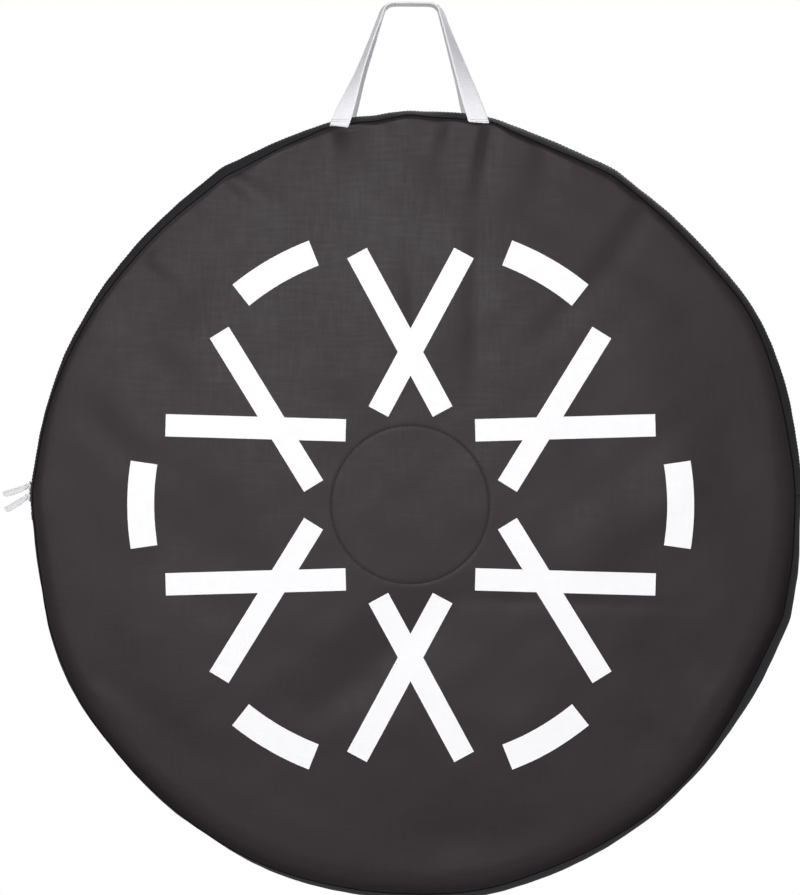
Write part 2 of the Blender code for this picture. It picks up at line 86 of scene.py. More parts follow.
# Unevenness as heights and wavelengths: of a panel, of its gathered edge and of the side band, which also has
# how much its depth counts
PANEL_WAVES = ((0.0016, 0.17), (0.0004, 0.06))
GATHER_HEIGHT, GATHER_LENGTH = 0.0007, 0.030
BAND_WAVES = ((0.0007, 0.09, 1.0), (0.0004, 0.026, 0.4))
# The least and greatest share of a wavelength, and what brings the mean of the waves to about 1
WAVE_SPREAD, WAVE_GAIN = (0.6, 1.7), 1.6
# How far in from the seam the slack and the folds set in, and where the gathers start and end
SLACK_REACH, FOLD_REACH = 0.06, 0.006
GATHER_START, GATHER_REACH = 0.003, 0.014
# How a fold widens, fades and sets in along its length, its depth in the middle and its slope across
FOLD_SPREAD, FOLD_FADE, FOLD_ONSET, FOLD_MIDDLE, FOLD_SLOPE = 0.9, 1.3, 8, 0.35, 1.3
HUB_PATCH_RADIUS = 0.0790
HUB_PATCH_WALL = 0.0014
PATCH_GAP = 0.0004
# The lining meets the seam over this reach, a little under it, and the cloth is never thinner than this there
LINING_REACH = 0.010
LINING_DROP = 0.0008
LEAST_WALL = 0.0009
BAND_WALL = 0.0018
BAND_SEED = 41
HEM_TUCK = 0.0006
BAND_DOME_POWER = 2.2
STRIP_ROWS = (0.0122, 0.0146)
# The folded tape inside a seam, as depths and thicknesses, and its gap to the band
BINDING_MM = ((35.0, 0.32), (33.4, 1.44), (30.0, 1.76), (27.2, 1.60), (26.4, 0.32))
BINDING_GAP = 0.0006

# The zip
TRACK_RADIUS = 0.3773
ZIP_EDGE = 0.0080
ZIP_DROP = 0.0032
TAPE_START = 0.0026
TAPE_REACH = 0.0140
TAPE_WALL = 0.0007
TAPE_SAG = 0.0012
TOOTH_PITCH = 0.0024
COIL_DEPTH = 0.0015
COIL_SIZE = (0.0031, 0.0017, 1.0)
COIL_WIRE = 0.00042
LEFT_ZIP_END = math.radians(181.82)
RIGHT_ZIP_END = math.radians(1.52)
OVER = (RIGHT_ZIP_END, LEFT_ZIP_END)
UNDER = (LEFT_ZIP_END, math.tau + RIGHT_ZIP_END)
TAB_TURN = 0.0040 / TRACK_RADIUS
TAB_HALF_DEPTH = 0.0150
TAB_WALL = 0.0004
TAB_ROW_SHARE = 0.7
TAB_ROW_HALF_DEPTH = 0.0132
TAB_ROW_LIFT = 0.0007

# The sliders and pulls
UPPER_SLIDER_ANGLE = math.radians(177.40)
LOWER_SLIDER_ANGLE = math.radians(178.92)
SLIDER_EDGE = 0.00022
PULL_PIN_RADIUS = 0.38143
PULL_EYE_HALF = 0.00185
PULL_EYE_END = 0.0042
PULL_EYE_CORNER = 0.0008
PULL_EYE_BACK = 0.0004
PULL_EYE_OVERLAP = 0.0006
PULL_ARM = 0.0012
PULL_ROOT_WIDTH = 0.0018
PULL_NECK_WIDTH = 0.0050
PULL_WIDTH = 0.0060
PULL_WALL = 0.0024
PULL_LENGTH = 0.0255
PULL_TAPER = 0.0060
PULL_TIP_CORNER = 0.0014
PULL_TIP_THINNING = 0.55
# How far before the tip's corner the web starts to thicken to the rim's height, and over how much
PULL_RIM_START, PULL_RIM_REACH = 0.0012, 0.0016
# From one edge to the middle, as shares of the half width and of the wall: a raised rim round a thinner web
PULL_PROFILE = (
    (-1, 0.42), (-0.94, 0.88), (-0.84, 1.0), (-0.72, 0.92), (-0.62, 0.68), (-0.3, 0.62), (0, 0.62),
)  # fmt: skip

# The print
PRINT_COPIES = 6
PRINT_STEP = 0.004
PRINT_BAR_INNER, PRINT_BAR_OUTER = 0.095, 0.248
PRINT_BAR_WIDTH, PRINT_BAR_LIFTS = 0.0215, (0.00030, 0.00045)
PRINT_DASH_RADIUS, PRINT_DASH_WIDTH = 0.260, 0.0260
INK_WALL = 0.0003

# The handles
FOOT_HALF_SPAN = 0.0675
FOOT_HEIGHT = -0.1195
FOOT_DEPTH = 0.0392
FOOT_REACH = 0.03
# How the webbing turns in under its foot: down from the foot and into the bag
FOOT_TUCKS = ((0.0032, 0.0060), (0.0016, 0.0010))
LEFT_FOOT_SLANT = 0.22
BAR_HALF_SPANS = {-1: 0.0240, 1: 0.0285}
BAR_DEPTH = 0.0099
BAR_HEIGHT = 0.0022
BAR_LIFT = 0.0018
HANDLE_CORNER = 0.0090
HANDLE_WIDTH = 0.0190
HANDLE_WALL = 0.0017
HANDLE_SHIFT = -0.0058
# Centre points over which the webbing's way, heading and twist are averaged
WAY_WIDTH, HEADING_WIDTH, TWIST_WIDTH = 9, 13, 41
# The rows of stitches at its feet: how high they are, how far from the edge and how deep
TACK_RISES, TACK_MARGIN, TACK_SINK = (0.0022, 0.0040), 0.0016, 0.0001
RIB_PITCH = 0.0016
RIB_RELIEF = 0.13
RIB_WAIST = 0.012
RIPPLE = 0.0004
RIPPLE_TURNS = 38
# Across the webbing, as shares of its half width and of its wall
WEBBING_PROFILE = (
    (-1, 0.30), (-0.96, 0.78), (-0.86, 1), (-0.6, 1), (-0.3, 1), (0, 1),
    (0.3, 1), (0.6, 1), (0.86, 1), (0.96, 0.78), (1, 0.30),
)  # fmt: skip

# The webbing's twist in degrees: shares of the leg from 0 to 1, then round the corner to the bar at 2
LEFT_TWISTS = {
    FRONT: ((0, 0), (0.04, 5), (0.12, 28), (0.23, 44), (0.4, 62), (0.55, 69), (0.8, 74), (1, 77), (2, 85)),
    BACK: ((0, 0), (0.11, 28), (0.23, 44), (0.4, 62), (0.55, 69), (0.8, 74), (1, 82), (2, 95)),
}
RIGHT_TWISTS = {
    FRONT: ((0, 0), (0.1, 8), (0.23, 20), (0.4, 38), (0.62, 54), (0.84, 70), (1, 77), (2, 85)),
    BACK: ((0, 0), (0.1, 12), (0.23, 30), (0.4, 50), (0.62, 62), (0.84, 74), (1, 82), (2, 95)),
}

# The slack outline: shares of the bag's radius every 10 degrees
OUTLINE_SHARES = (
    0.989, 0.995, 1.002, 1.005, 0.993, 0.992, 0.995, 0.996, 1.012,
    1.007, 1.007, 0.998, 0.986, 0.984, 0.979, 0.979, 0.980, 0.981,
    0.982, 0.983, 0.996, 1.002, 1.000, 1.002, 1.008, 1.015, 1.015,
    1.016, 1.023, 1.016, 1.011, 1.003, 0.999, 1.001, 0.999, 0.997,
)  # fmt: skip
# Corners where the cloth hangs in a kink: angle in degrees and height in millimetres
OUTLINE_CORNERS = ((59, 2.6), (120, 4.4), (307, 1.0), (343, 3.8))
CORNER_REACH = 3.5
# How much of the side band shows outside the front seam, in millimetres, every 15 degrees
SEAM_INSETS_MM = (
    6.0, 8.5, 6.5, 6.4, 6.2, 5.8, 5.0, 5.8,
    8.3, 7.3, 4.6, 1.8, 0.8, 0.8, 0.8, 0.8,
    1.4, 4.8, 5.5, 7.5, 6.0, 3.0, 9.5, 8.0,
)  # fmt: skip
# The same for the back, where it only swings about a mean
BACK_INSET_MM = 7.0
BACK_INSET_SWING_MM = 1.4
BACK_INSET_WAVES, BACK_INSET_PHASE = 3, 0.6
# Humps and hollows, as an angle and a half width in degrees and a height in millimetres: where the band
# bulges, where the seam is drawn up under the handles, and where the zip rises or dips
BAND_HUMPS = ((91.2, 1.9, 0.8), (96.2, 1.7, -1.2), (178.6, 3.6, 2.4), (2.0, 5.0, 1.2))
FOOT_HUMPS = ((103.5, 2.0, 1.8), (78.5, 2.0, 2.4))
SEAM_HUMPS = {FRONT: (*FOOT_HUMPS, (90.6, 2.8, 2.4)), BACK: FOOT_HUMPS}
ZIP_HUMPS = ((178.6, 3.6, 1.8), (2.9, 4.0, -0.7))
# How far in the panel's edge is rolled, in millimetres, every 30 degrees
ROLLS_MM = (23.0, 13.0, 6.5, 4.5, 4.5, 6.0, 11.0, 18.0, 25.0, 24.0, 26.0, 28.0)
# How far a panel stands proud of its seam before that roll, in millimetres, every 30 degrees
PROUD_MM = (9.6, 5.0, 3.2, 2.8, 2.6, 3.2, 5.4, 9.0, 13.2, 11.6, 13.6, 14.2)
# How the roll curves down, how near it comes to a square drop, where 1 is square, and how far past the seam
ROLL_POWER = 1.8
ROLL_STEEPNESS = 0.93
ROLL_OVERRUN = 0.0004
# Painted shade where the front panel's cloth turns down into the seam: how dark its colour is painted, every
# 15 degrees, and how far in that reaches
PAINTED_SEAM_SHADES = (
    0.35, 0.20, 0.10, 0.00, 0.00, 0.00, 0.00, 0.00, 0.00, 0.00, 0.05, 0.15,
    0.20, 0.35, 0.60, 0.75, 0.70, 0.60, 0.60, 0.60, 0.75, 0.80, 1.00, 0.80,
)  # fmt: skip
PAINTED_SEAM_SHADE_REACH = 0.0118

# Soft folds in a panel: start and end (x, z), half width and depth, from the handles' feet down
FRONT_FOLDS = (
    ((-0.0719, -0.1212), (-0.0450, -0.1925), 0.0130, 0.0032),
    ((-0.0787, -0.1231), (-0.0613, -0.3389), 0.0130, 0.0016),
    ((0.0677, -0.1231), (0.0407, -0.2551), 0.0095, 0.0030),
    ((0.0321, -0.1183), (0.0042, -0.1896), 0.0090, 0.0020),
    ((-0.0228, -0.1164), (-0.0295, -0.1559), 0.0060, 0.0008),
    ((-0.1846, -0.1732), (-0.1259, -0.2185), 0.0080, -0.0026),
    ((-0.1442, -0.1462), (-0.1480, -0.2252), 0.0120, 0.0016),
    ((-0.2559, -0.2541), (-0.2029, -0.2907), 0.0090, -0.0018),
    ((0.1207, -0.1385), (0.0957, -0.2233), 0.0130, 0.0015),
    ((0.2161, -0.1992), (0.1390, -0.3100), 0.0120, 0.0016),
    ((-0.3118, -0.6760), (-0.2174, -0.7627), 0.0130, -0.0018),
    ((0.2787, -0.7358), (0.1776, -0.6664), 0.0110, 0.0014),
    ((-0.3426, -0.3196), (-0.2752, -0.3389), 0.0100, -0.0010),
    ((0.1246, -0.8379), (0.1005, -0.7627), 0.0120, 0.0012),
)
# Broad shallow dips, or rolls where the depth is negative, that fade at both ends
FRONT_DIPS = (
    ((0.0379, -0.5797), (-0.1018, -0.6905), 0.0280, 0.0035),
    ((-0.0007, -0.8157), (0.1246, -0.8205), 0.0340, 0.0032),
    ((0.1390, -0.5412), (0.2739, -0.4641), 0.0360, -0.0032),
    ((-0.3426, -0.6664), (-0.2318, -0.7483), 0.0340, 0.0035),
    ((0.0600, -0.2281), (0.0581, -0.3870), 0.0130, 0.0015),
    ((-0.0055, -0.2425), (0.0003, -0.3341), 0.0090, 0.0011),
    ((0.2161, -0.2281), (0.1198, -0.3244), 0.0130, 0.0012),
    ((0.0523, -0.5797), (0.2662, -0.5855), 0.0070, 0.0007),
    ((-0.3282, -0.3822), (-0.2656, -0.4545), 0.0200, 0.0015),
    ((0.2161, -0.6182), (0.3240, -0.6760), 0.0280, 0.0024),
    ((-0.1789, -0.2907), (-0.2367, -0.3485), 0.0300, -0.0022),
    ((0.1776, -0.7916), (0.0812, -0.6760), 0.0240, -0.0019),
)
BACK_FOLDS = (
    ((-0.0720, -0.1250), (-0.0560, -0.2350), 0.0110, 0.0031),
    ((0.0620, -0.1250), (0.0560, -0.2200), 0.0110, 0.0034),
    ((0.0050, -0.1180), (0.0140, -0.1900), 0.0120, 0.0017),
    ((0.2300, -0.1990), (0.1700, -0.2500), 0.0100, 0.0017),
    ((-0.2100, -0.1900), (-0.1800, -0.2500), 0.0110, 0.0014),
)
BACK_DIPS = (
    ((0.0200, -0.5800), (0.1500, -0.6600), 0.0300, 0.0036),
    ((-0.2400, -0.4200), (-0.1200, -0.5400), 0.0340, -0.0036),
    ((0.2500, -0.6500), (0.1700, -0.7500), 0.0320, 0.0033),
    ((-0.0600, -0.7900), (0.0600, -0.7800), 0.0300, 0.0027),
    ((0.1500, -0.2600), (0.2400, -0.3600), 0.0280, -0.0027),
    ((-0.2100, -0.6200), (-0.0700, -0.6300), 0.0080, 0.0009),
)
FOLDS = {FRONT: FRONT_FOLDS, BACK: BACK_FOLDS}
DIPS = {FRONT: FRONT_DIPS, BACK: BACK_DIPS}


def linear(code):
    """An sRGB hex colour as linear values with full alpha."""
    values = [int(code[i : i + 2], 16) / 255 for i in (1, 3, 5)]
    return (*[v / 12.92 if v <= 0.04045 else ((v + 0.055) / 1.055) ** 2.4 for v in values], 1.0)


def put(tree, kind, inputs=(), **settings):
    """Adds a node with its settings. Its inputs are in order, or a dictionary by name or number.

    An input is a value, another node's output, or a node that stands for its own first output.
    """
    node = tree.nodes.new(kind)
    for name, value in settings.items():
        setattr(node, name, value)
    for key, value in inputs.items() if isinstance(inputs, dict) else enumerate(inputs):
        source = value.outputs[0] if isinstance(value, bpy.types.Node) else value
        if isinstance(source, bpy.types.NodeSocket):
            tree.links.new(source, node.inputs[key])
        else:
            node.inputs[key].default_value = source
    return node


def placed(name, data):
    """A new object in the scene."""
    made = bpy.data.objects.new(name, data)
    bpy.context.scene.collection.objects.link(made)
    return made


# Materials


def cleared(made):
    """A new material or world, and its empty node tree."""
    made.use_nodes = True
    made.node_tree.nodes.clear()
    return made, made.node_tree


def noise(tree, place, scale, detail=2.0, stretch=(1.0, 1.0, 1.0)):
    """Noise of so many cells a metre, drawn out along the cloth where it is stretched."""
    run = put(tree, "ShaderNodeMapping", {"Vector": place, "Scale": stretch})
    return put(tree, "ShaderNodeTexNoise", {"Vector": run, "Scale": scale, "Detail": detail}).outputs["Fac"]


def total(tree, parts, base):
    """A base value plus each part's swing about its middle, as (source, swing) pairs."""
    value = base - sum(swing / 2 for _, swing in parts)
    for source, swing in parts:
        value = put(tree, "ShaderNodeMath", (source, swing, value), operation="MULTIPLY_ADD")
    return value


def wave(tree, along, pitch):
    """A smooth ridge and furrow between 0 and 1, once in every pitch."""
    turn = put(tree, "ShaderNodeMath", (along, math.tau / pitch), operation="MULTIPLY")
    sine = put(tree, "ShaderNodeMath", (turn,), operation="SINE")
    return put(tree, "ShaderNodeMath", (sine, 0.5, 0.5), operation="MULTIPLY_ADD")


def surface(tree, code, tone, rough, height, relief, **sockets):
    """A material's Principled shader: a colour times a tone near 1, and a bump of so many millimetres."""
    # A mix of colours has its factor at 0, the colours at 6 and 7, and its result at 2
    tinted = {0: 1.0, 6: linear(code), 7: tone}
    colour = put(tree, "ShaderNodeMix", tinted, data_type="RGBA", blend_type="MULTIPLY").outputs[2]
    raised = {"Height": height, "Strength": 0.6, "Distance": relief * MILLIMETRE}
    inputs = {"Base Color": colour, "Roughness": rough, "Normal": put(tree, "ShaderNodeBump", raised)}
    inputs |= {key.replace("_", " "): value for key, value in sockets.items()}
    put(tree, "ShaderNodeOutputMaterial", {"Surface": put(tree, "ShaderNodeBsdfPrincipled", inputs)})


def woven(
    name, code, thread, rough, relief=0.10, weave=0.10, slub=0.16, drift=0.10, polish=0.0, hem=0.0, **sockets
):
    """Plain-woven cloth on the piece's cloth map: the weave, slubs along the yarns and a slow drift of tone.

    Where the piece's hem attribute is 1, the colour is darkened by hem as painted shade, and the cloth is
    rougher by hem.
    """
    made, tree = cleared(bpy.data.materials.new(name))
    place = put(tree, "ShaderNodeUVMap", uv_map="cloth")
    along = put(tree, "ShaderNodeSeparateXYZ", (place,)).outputs
    ridges = [wave(tree, along[axis], thread * 2) for axis in ("X", "Y")]
    furrows = [put(tree, "ShaderNodeMath", (1.0, ridge), operation="SUBTRACT") for ridge in ridges]
    over, under = (put(tree, "ShaderNodeMath", pair, operation="MULTIPLY") for pair in (ridges, furrows))
    crossing = put(tree, "ShaderNodeMath", (over, under), operation="ADD")
    warp, weft = (
        noise(tree, place, SLUB_CELLS / thread, detail=3.0, stretch=stretch)
        for stretch in ((1.0, SLUB_STRETCH, 1.0), (SLUB_STRETCH, 1.0, 1.0))
    )
    patches = noise(tree, place, PATCH_CELLS, detail=4.0)
    tone = total(tree, [(crossing, weave), (warp, slub), (weft, slub), (patches, drift)], 1.0)
    height = total(tree, [(crossing, 0.35), (warp, 0.9), (weft, 0.9)], 0.5)
    gloss = total(tree, [(warp, polish), (weft, polish), (patches, polish)], rough) if polish else rough
    # Painted shade: the hem attribute darkens the colour where the cloth turns down into the seam
    if hem:
        painted_seam_shade = put(tree, "ShaderNodeAttribute", attribute_name="hem").outputs["Fac"]
        painted_shade_factor = put(tree, "ShaderNodeMath", (painted_seam_shade, -hem, 1.0), operation="MULTIPLY_ADD")
        tone = put(tree, "ShaderNodeMath", (tone, painted_shade_factor), operation="MULTIPLY")
        gloss = put(tree, "ShaderNodeMath", (painted_seam_shade, hem, gloss), operation="MULTIPLY_ADD")
    surface(tree, code, tone, gloss, height, relief, **sockets)
    return made


def ribbed(name, code, pitch, rough, relief, **sockets):
    """Webbing: ribs straight across the strap, and fine yarns along it."""
    made, tree = cleared(bpy.data.materials.new(name))
    place = put(tree, "ShaderNodeUVMap", uv_map="cloth")
    rib = wave(tree, put(tree, "ShaderNodeSeparateXYZ", (place,)).outputs["X"], pitch)
    yarn = noise(tree, place, 900.0, stretch=(0.35, 1.0, 1.0))
    wide = noise(tree, place, 60.0, detail=3.0)
    tone = total(tree, [(rib, 0.08), (yarn, 0.08), (wide, 0.03)], 1.0)
    surface(tree, code, tone, rough, total(tree, [(rib, 0.6), (yarn, 1.0)], 0.5), relief, **sockets)
    return made


def grained(name, code, rough, grain, swing=0.06, relief=0.02, **sockets):
    """A moulded, coated, drawn or painted surface with a grain of so many millimetres."""
    made, tree = cleared(bpy.data.materials.new(name))
    place = put(tree, "ShaderNodeTexCoord").outputs["Object"]
    fine = noise(tree, place, 1 / (grain * MILLIMETRE), detail=3.0)
    wide = noise(tree, place, 0.12 / (grain * MILLIMETRE))
    tone = total(tree, [(fine, swing), (wide, swing)], 1.0)
    gloss = total(tree, [(fine, 0.12), (wide, 0.10)], rough)
    surface(tree, code, tone, gloss, fine, relief, **sockets)
    return made


# Slubs for each thread across the yarns, how far they run along them, and patches of tone a metre
SLUB_CELLS = 0.42
SLUB_STRETCH = 0.11
PATCH_CELLS = 11.0

# 600 denier polyester with a coated back: flat black with a faint grey haze. Its yarns are 0.5 mm apart and
# are drawn 1.4 mm apart, so that the weave still shows.
DRAWN_YARN = 0.0014
# hem paints shade into the front panel's colour where it turns down into the seam
PANEL_LOOK = {"weave": 0.04, "slub": 0.32, "drift": 0.24, "polish": 0.17, "hem": 0.75}
PANEL_CLOTH = woven("polyester_600d", "#282123", DRAWN_YARN, 0.44, Specular_IOR_Level=0.20, **PANEL_LOOK)
# The side band is the same cloth, drawn rougher and less warm.
BAND_CLOTH = woven("polyester_600d_band", "#2A2B2D", DRAWN_YARN, 0.80, polish=0.08, Specular_IOR_Level=0.12)
# Nylon taffeta inside: smoother and a shade bluer than the outside.
LINING = woven("nylon_taffeta", "#2B2C30", 0.0010, 0.5, relief=0.05, slub=0.08)
# Grosgrain tape folded over the raw seams.
GROSGRAIN = woven("grosgrain_tape", "#141416", 0.0012, 0.7, relief=0.12, Specular_IOR_Level=0.3)
# Knitted polyester zip tape.
ZIP_CLOTH = woven("knitted_zip_tape", "#17171A", 0.0009, 0.75, Specular_IOR_Level=0.3)
# Polypropylene webbing: off-white and matt, with a rib every 1.6 mm.
WEBBING = ribbed("polypropylene_webbing", "#ECECF0", RIB_PITCH, 0.62, 0.12, Specular_IOR_Level=0.35)
# Plastisol screen print: opaque white, smoother than the cloth under it.
INK_LOOK = {"relief": 0.05, "weave": 0.03, "slub": 0.04, "drift": 0.02}
SCREEN_INK = woven("plastisol_print", "#F6F6F8", DRAWN_YARN, 0.55, Specular_IOR_Level=0.3, **INK_LOOK)
# Bonded polyester thread: black for the bag and pale for the handles' feet, with a slight shine.
THREAD = grained("bonded_thread", "#131214", 0.5, 0.4)
PALE_THREAD = grained("bonded_thread_pale", "#D2D3D8", 0.55, 0.4)
# Painted seam shadow: a near-black cord, darker than any cloth of the bag, laid in each seam's valley.
SEAM_SHADOW = grained("painted_seam_shadow_cord", "#0A0A0C", 0.85, 0.6, Specular_IOR_Level=0.1)
# Drawn nylon coil: smooth and glossy.
COIL = grained("nylon_coil", "#131316", 0.35, 0.5)
# Light grey enamel over a zinc casting.
ENAMEL = grained("zinc_enamel", "#C9CACC", 0.32, 0.8, Coat_Weight=0.3)
# Moulded translucent rubber: frosted white, with light passing through.
RUBBER = grained("translucent_rubber", "#EDEDEF", 0.5, 0.7, swing=0.02, Transmission_Weight=0.15, IOR=1.42)
# Calendered vinyl: smooth and hardly grained.
VINYL = grained("calendered_vinyl", "#1E1E21", 0.5, 1.2, relief=0.05)


# The bag's shape


def round_table(shares, angle):
    """A smooth closed curve through values that are evenly spaced round the hub."""
    place = np.asarray(angle, float) / math.tau * len(shares) % len(shares)
    low = np.floor(place).astype(int)
    part = place - low
    a, b, c, d = (np.take(shares, low + step, mode="wrap") for step in (-1, 0, 1, 2))
    return b + 0.5 * part * (c - a + part * (2 * a - 5 * b + 4 * c - d + part * (3 * (b - c) + d - a)))


def degrees_from(angle, middle):
    """How far an angle is from a middle one, between -180 and 180 degrees."""
    return (np.degrees(angle) - middle + 180) % 360 - 180


def humps(angle, rows):
    """The height of smooth humps at an angle round the hub."""
    value = 0.0
    for middle, width, height in rows:
        value = value + height * MILLIMETRE * np.exp(-((degrees_from(angle, middle) / width) ** 2))
    return value


def smooth(share):
    """An even start and stop between 0 and 1."""
    share = np.clip(share, 0, 1)
    return share * share * (3 - 2 * share)


def ridge_radius(angle):
    """The side band's radius at mid-depth: the slack outline with its kinks and humps."""
    slack = round_table(OUTLINE_SHARES, angle) * BAG_RADIUS + humps(angle, BAND_HUMPS)
    for middle, height in OUTLINE_CORNERS:
        off = np.hypot(degrees_from(angle, middle), 1.0)
        slack = slack + height * MILLIMETRE * np.exp(0.3 - off / CORNER_REACH)
    return slack


def seam_radius(angle, side):
    """The radius of the seam between a panel and the side band."""
    angle = np.asarray(angle, float)
    if side == FRONT:
        inset = round_table(SEAM_INSETS_MM, angle)
    else:
        inset = BACK_INSET_MM + BACK_INSET_SWING_MM * np.sin(BACK_INSET_WAVES * angle + BACK_INSET_PHASE)
    seam = ridge_radius(angle) - (inset + SEAM_DROP_MM) * MILLIMETRE + humps(angle, SEAM_HUMPS[side])
    return seam * SEAM_SHARE


def unevenness(a, b, seed, size, count=10):
    """Soft unevenness between about -1 and 1, as a seeded sum of waves of about this length."""
    draw = np.random.default_rng(seed)
    value = np.zeros(np.broadcast(a, b).shape)
    for _ in range(count):
        heading = draw.uniform(0, math.tau)
        length = size * draw.uniform(*WAVE_SPREAD)
        phase = draw.uniform(0, math.tau)
        value += np.sin((a * math.cos(heading) + b * math.sin(heading)) * math.tau / length + phase)
    return value / count * WAVE_GAIN


def beside(x, z, start, end):
    """How far a place is along a line, as a share of its length, and how far to one side of it."""
    run_x, run_z = end[0] - start[0], end[1] - start[1]
    length = math.hypot(run_x, run_z)
    off_x, off_z = x - start[0], z - start[1]
    return (off_x * run_x + off_z * run_z) / length**2, (off_x * run_z - off_z * run_x) / length


def fold_depth(x, z, side):
    """How far soft folds push the cloth in: a step down to one side that fades at its far end."""
    value = 0.0
    for start, end, width, depth in FOLDS[side]:
        along, across = beside(x, z, start, end)
        share = across / (width * (1 + FOLD_SPREAD * np.clip(along, 0, 1)))
        fade = np.clip(1 - along, 0, 1) ** FOLD_FADE * np.clip(1 + along * FOLD_ONSET, 0, 1)
        value = value + depth * fade * (FOLD_MIDDLE - FOLD_SLOPE * share) * np.exp(-(share**2))
    return value


def dip_depth(x, z, side):
    """How far broad shallow dips push the cloth in. Each fades at both ends."""
    value = 0.0
    for start, end, width, depth in DIPS[side]:
        along, across = beside(x, z, start, end)
        value = value + depth * np.exp(-((across / width) ** 2) - (2 * along - 1) ** 4)
    return value


def panel_depth(x, z, angle, side):
    """The depth of a panel's outer face: its crown, rolled edge, stitched hub circle and slack."""
    seed = PANEL_SEEDS[side]
    radius = np.hypot(x, z - HUB_HEIGHT)
    rim = seam_radius(angle, side)
    inwards = rim - radius
    crown_reach = MEAN_SEAM_RADIUS - PANEL_FLAT_RADIUS
    out = np.clip((radius / rim * MEAN_SEAM_RADIUS - PANEL_FLAT_RADIUS) / crown_reach, 0, 1)
    proud = round_table(PROUD_MM, angle) * MILLIMETRE
    crown = PANEL_DEPTH - (PANEL_DEPTH - SEAM_DEPTH - proud) * out**CROWN_POWER
    roll = np.clip(1 - inwards / (round_table(ROLLS_MM, angle) * MILLIMETRE), 0, 1)
    steepness = 1 - np.sqrt(1 - ROLL_STEEPNESS * roll**ROLL_POWER)
    drop = (proud + ROLL_OVERRUN) * steepness / (1 - math.sqrt(1 - ROLL_STEEPNESS))
    broad = sum(high * unevenness(x, z, seed + i, long) for i, (high, long) in enumerate(PANEL_WAVES))
    slack = np.clip(inwards / SLACK_REACH, 0, 1) * (broad - dip_depth(x, z, side))
    gather = np.exp(-((inwards / GATHER_REACH) ** 2)) * np.clip(inwards / GATHER_START, 0, 1)
    puckers = unevenness(angle * MEAN_SEAM_RADIUS, 0 * angle, seed + len(PANEL_WAVES), GATHER_LENGTH)
    pucker = GATHER_HEIGHT * gather * puckers
    hub = np.hypot(x - HUB_SHIFT, z - HUB_HEIGHT)
    sewn = STITCH_SINK * np.exp(-(((hub - HUB_STITCH_RADIUS) / STITCH_REACH) ** 2))
    folded = np.clip(inwards / FOLD_REACH, 0, 1) * fold_depth(x, z, side)
    return side * (crown - drop - sewn + slack + pucker - folded)


def mesh_object(name, points, faces, looks, slots=None):
    """A closed, smooth piece from points and faces, with outward normals."""
    mesh = bpy.data.meshes.new(name)
    mesh.from_pydata([tuple(p) for p in np.asarray(points, float)], [], [tuple(f) for f in faces])
    for look in looks:
        mesh.materials.append(look)
    if slots is not None:
        mesh.polygons.foreach_set("material_index", np.asarray(slots, np.int32))
    shape = bmesh.new()
    shape.from_mesh(mesh)
    bmesh.ops.recalc_face_normals(shape, faces=shape.faces)
    shape.to_mesh(mesh)
    shape.free()
    mesh.shade_smooth()
    return placed(name, mesh)


def cloth_map(made, u, v, round_trip=None):
    """A UV map in real metres from values for each point. A face across the round trip's end stays whole."""
    mesh = made.data
    corner = np.zeros(len(mesh.loops), np.int32)
    mesh.loops.foreach_get("vertex_index", corner)
    u, v = np.asarray(u, float)[corner], np.asarray(v, float)[corner]
    if round_trip:
        start = np.zeros(len(mesh.polygons), np.int32)
        sizes = np.zeros(len(mesh.polygons), np.int32)
        mesh.polygons.foreach_get("loop_start", start)
        mesh.polygons.foreach_get("loop_total", sizes)
        most = np.repeat(np.maximum.reduceat(u, start), sizes)
        u = np.where(most - u > round_trip / 2, u + round_trip, u)
    layer = mesh.uv_layers.new(name="cloth")
    layer.data.foreach_set("uv", np.stack([u, v], 1).astype(np.float32).ravel())


def front_map(made):
    """A cloth map of a piece as it is seen from the front."""
    flat = np.zeros(len(made.data.vertices) * 3)
    made.data.vertices.foreach_get("co", flat)
    cloth_map(made, flat[0::3], flat[2::3])


def grid_faces(rows, columns, wrap_rows=False):
    """Quads over a grid of rows, each a closed loop of columns."""
    faces = []
    for i in range(rows if wrap_rows else rows - 1):
        near, far = i * columns, (i + 1) % rows * columns
        for j in range(columns):
            k = (j + 1) % columns
            faces.append((near + j, near + k, far + k, far + j))
    return faces


def end_faces(rows, columns):
    """Quads that close both ends of such a grid, where each row is an outer face and then its inner one."""
    return [
        (base + i, base + i + 1, base + columns - 2 - i, base + columns - 1 - i)
        for base in (0, (rows - 1) * columns)
        for i in range(columns // 2 - 1)
    ]


def disc_shell(name, rings, looks, outer):
    """A closed shell of rings, from the middle of its outer face to the middle of its inner one.

    So many rings are the outer face's, and the inner face takes the last look.
    """
    turns = len(rings[0])
    faces = grid_faces(len(rings), turns)
    slots = [0 if i // turns < outer - 1 else len(looks) - 1 for i in range(len(faces))]
    for row, tip, slot in ((0, 0, 0), (len(rings) - 1, 1, len(looks) - 1)):
        middle = len(rings) * turns + tip
        faces += [(row * turns + j, row * turns + (j + 1) % turns, middle) for j in range(turns)]
        slots += [slot] * turns
    points = np.concatenate([*rings, [rings[0].mean(0), rings[-1].mean(0)]])
    return mesh_object(name, points, faces, looks, slots)


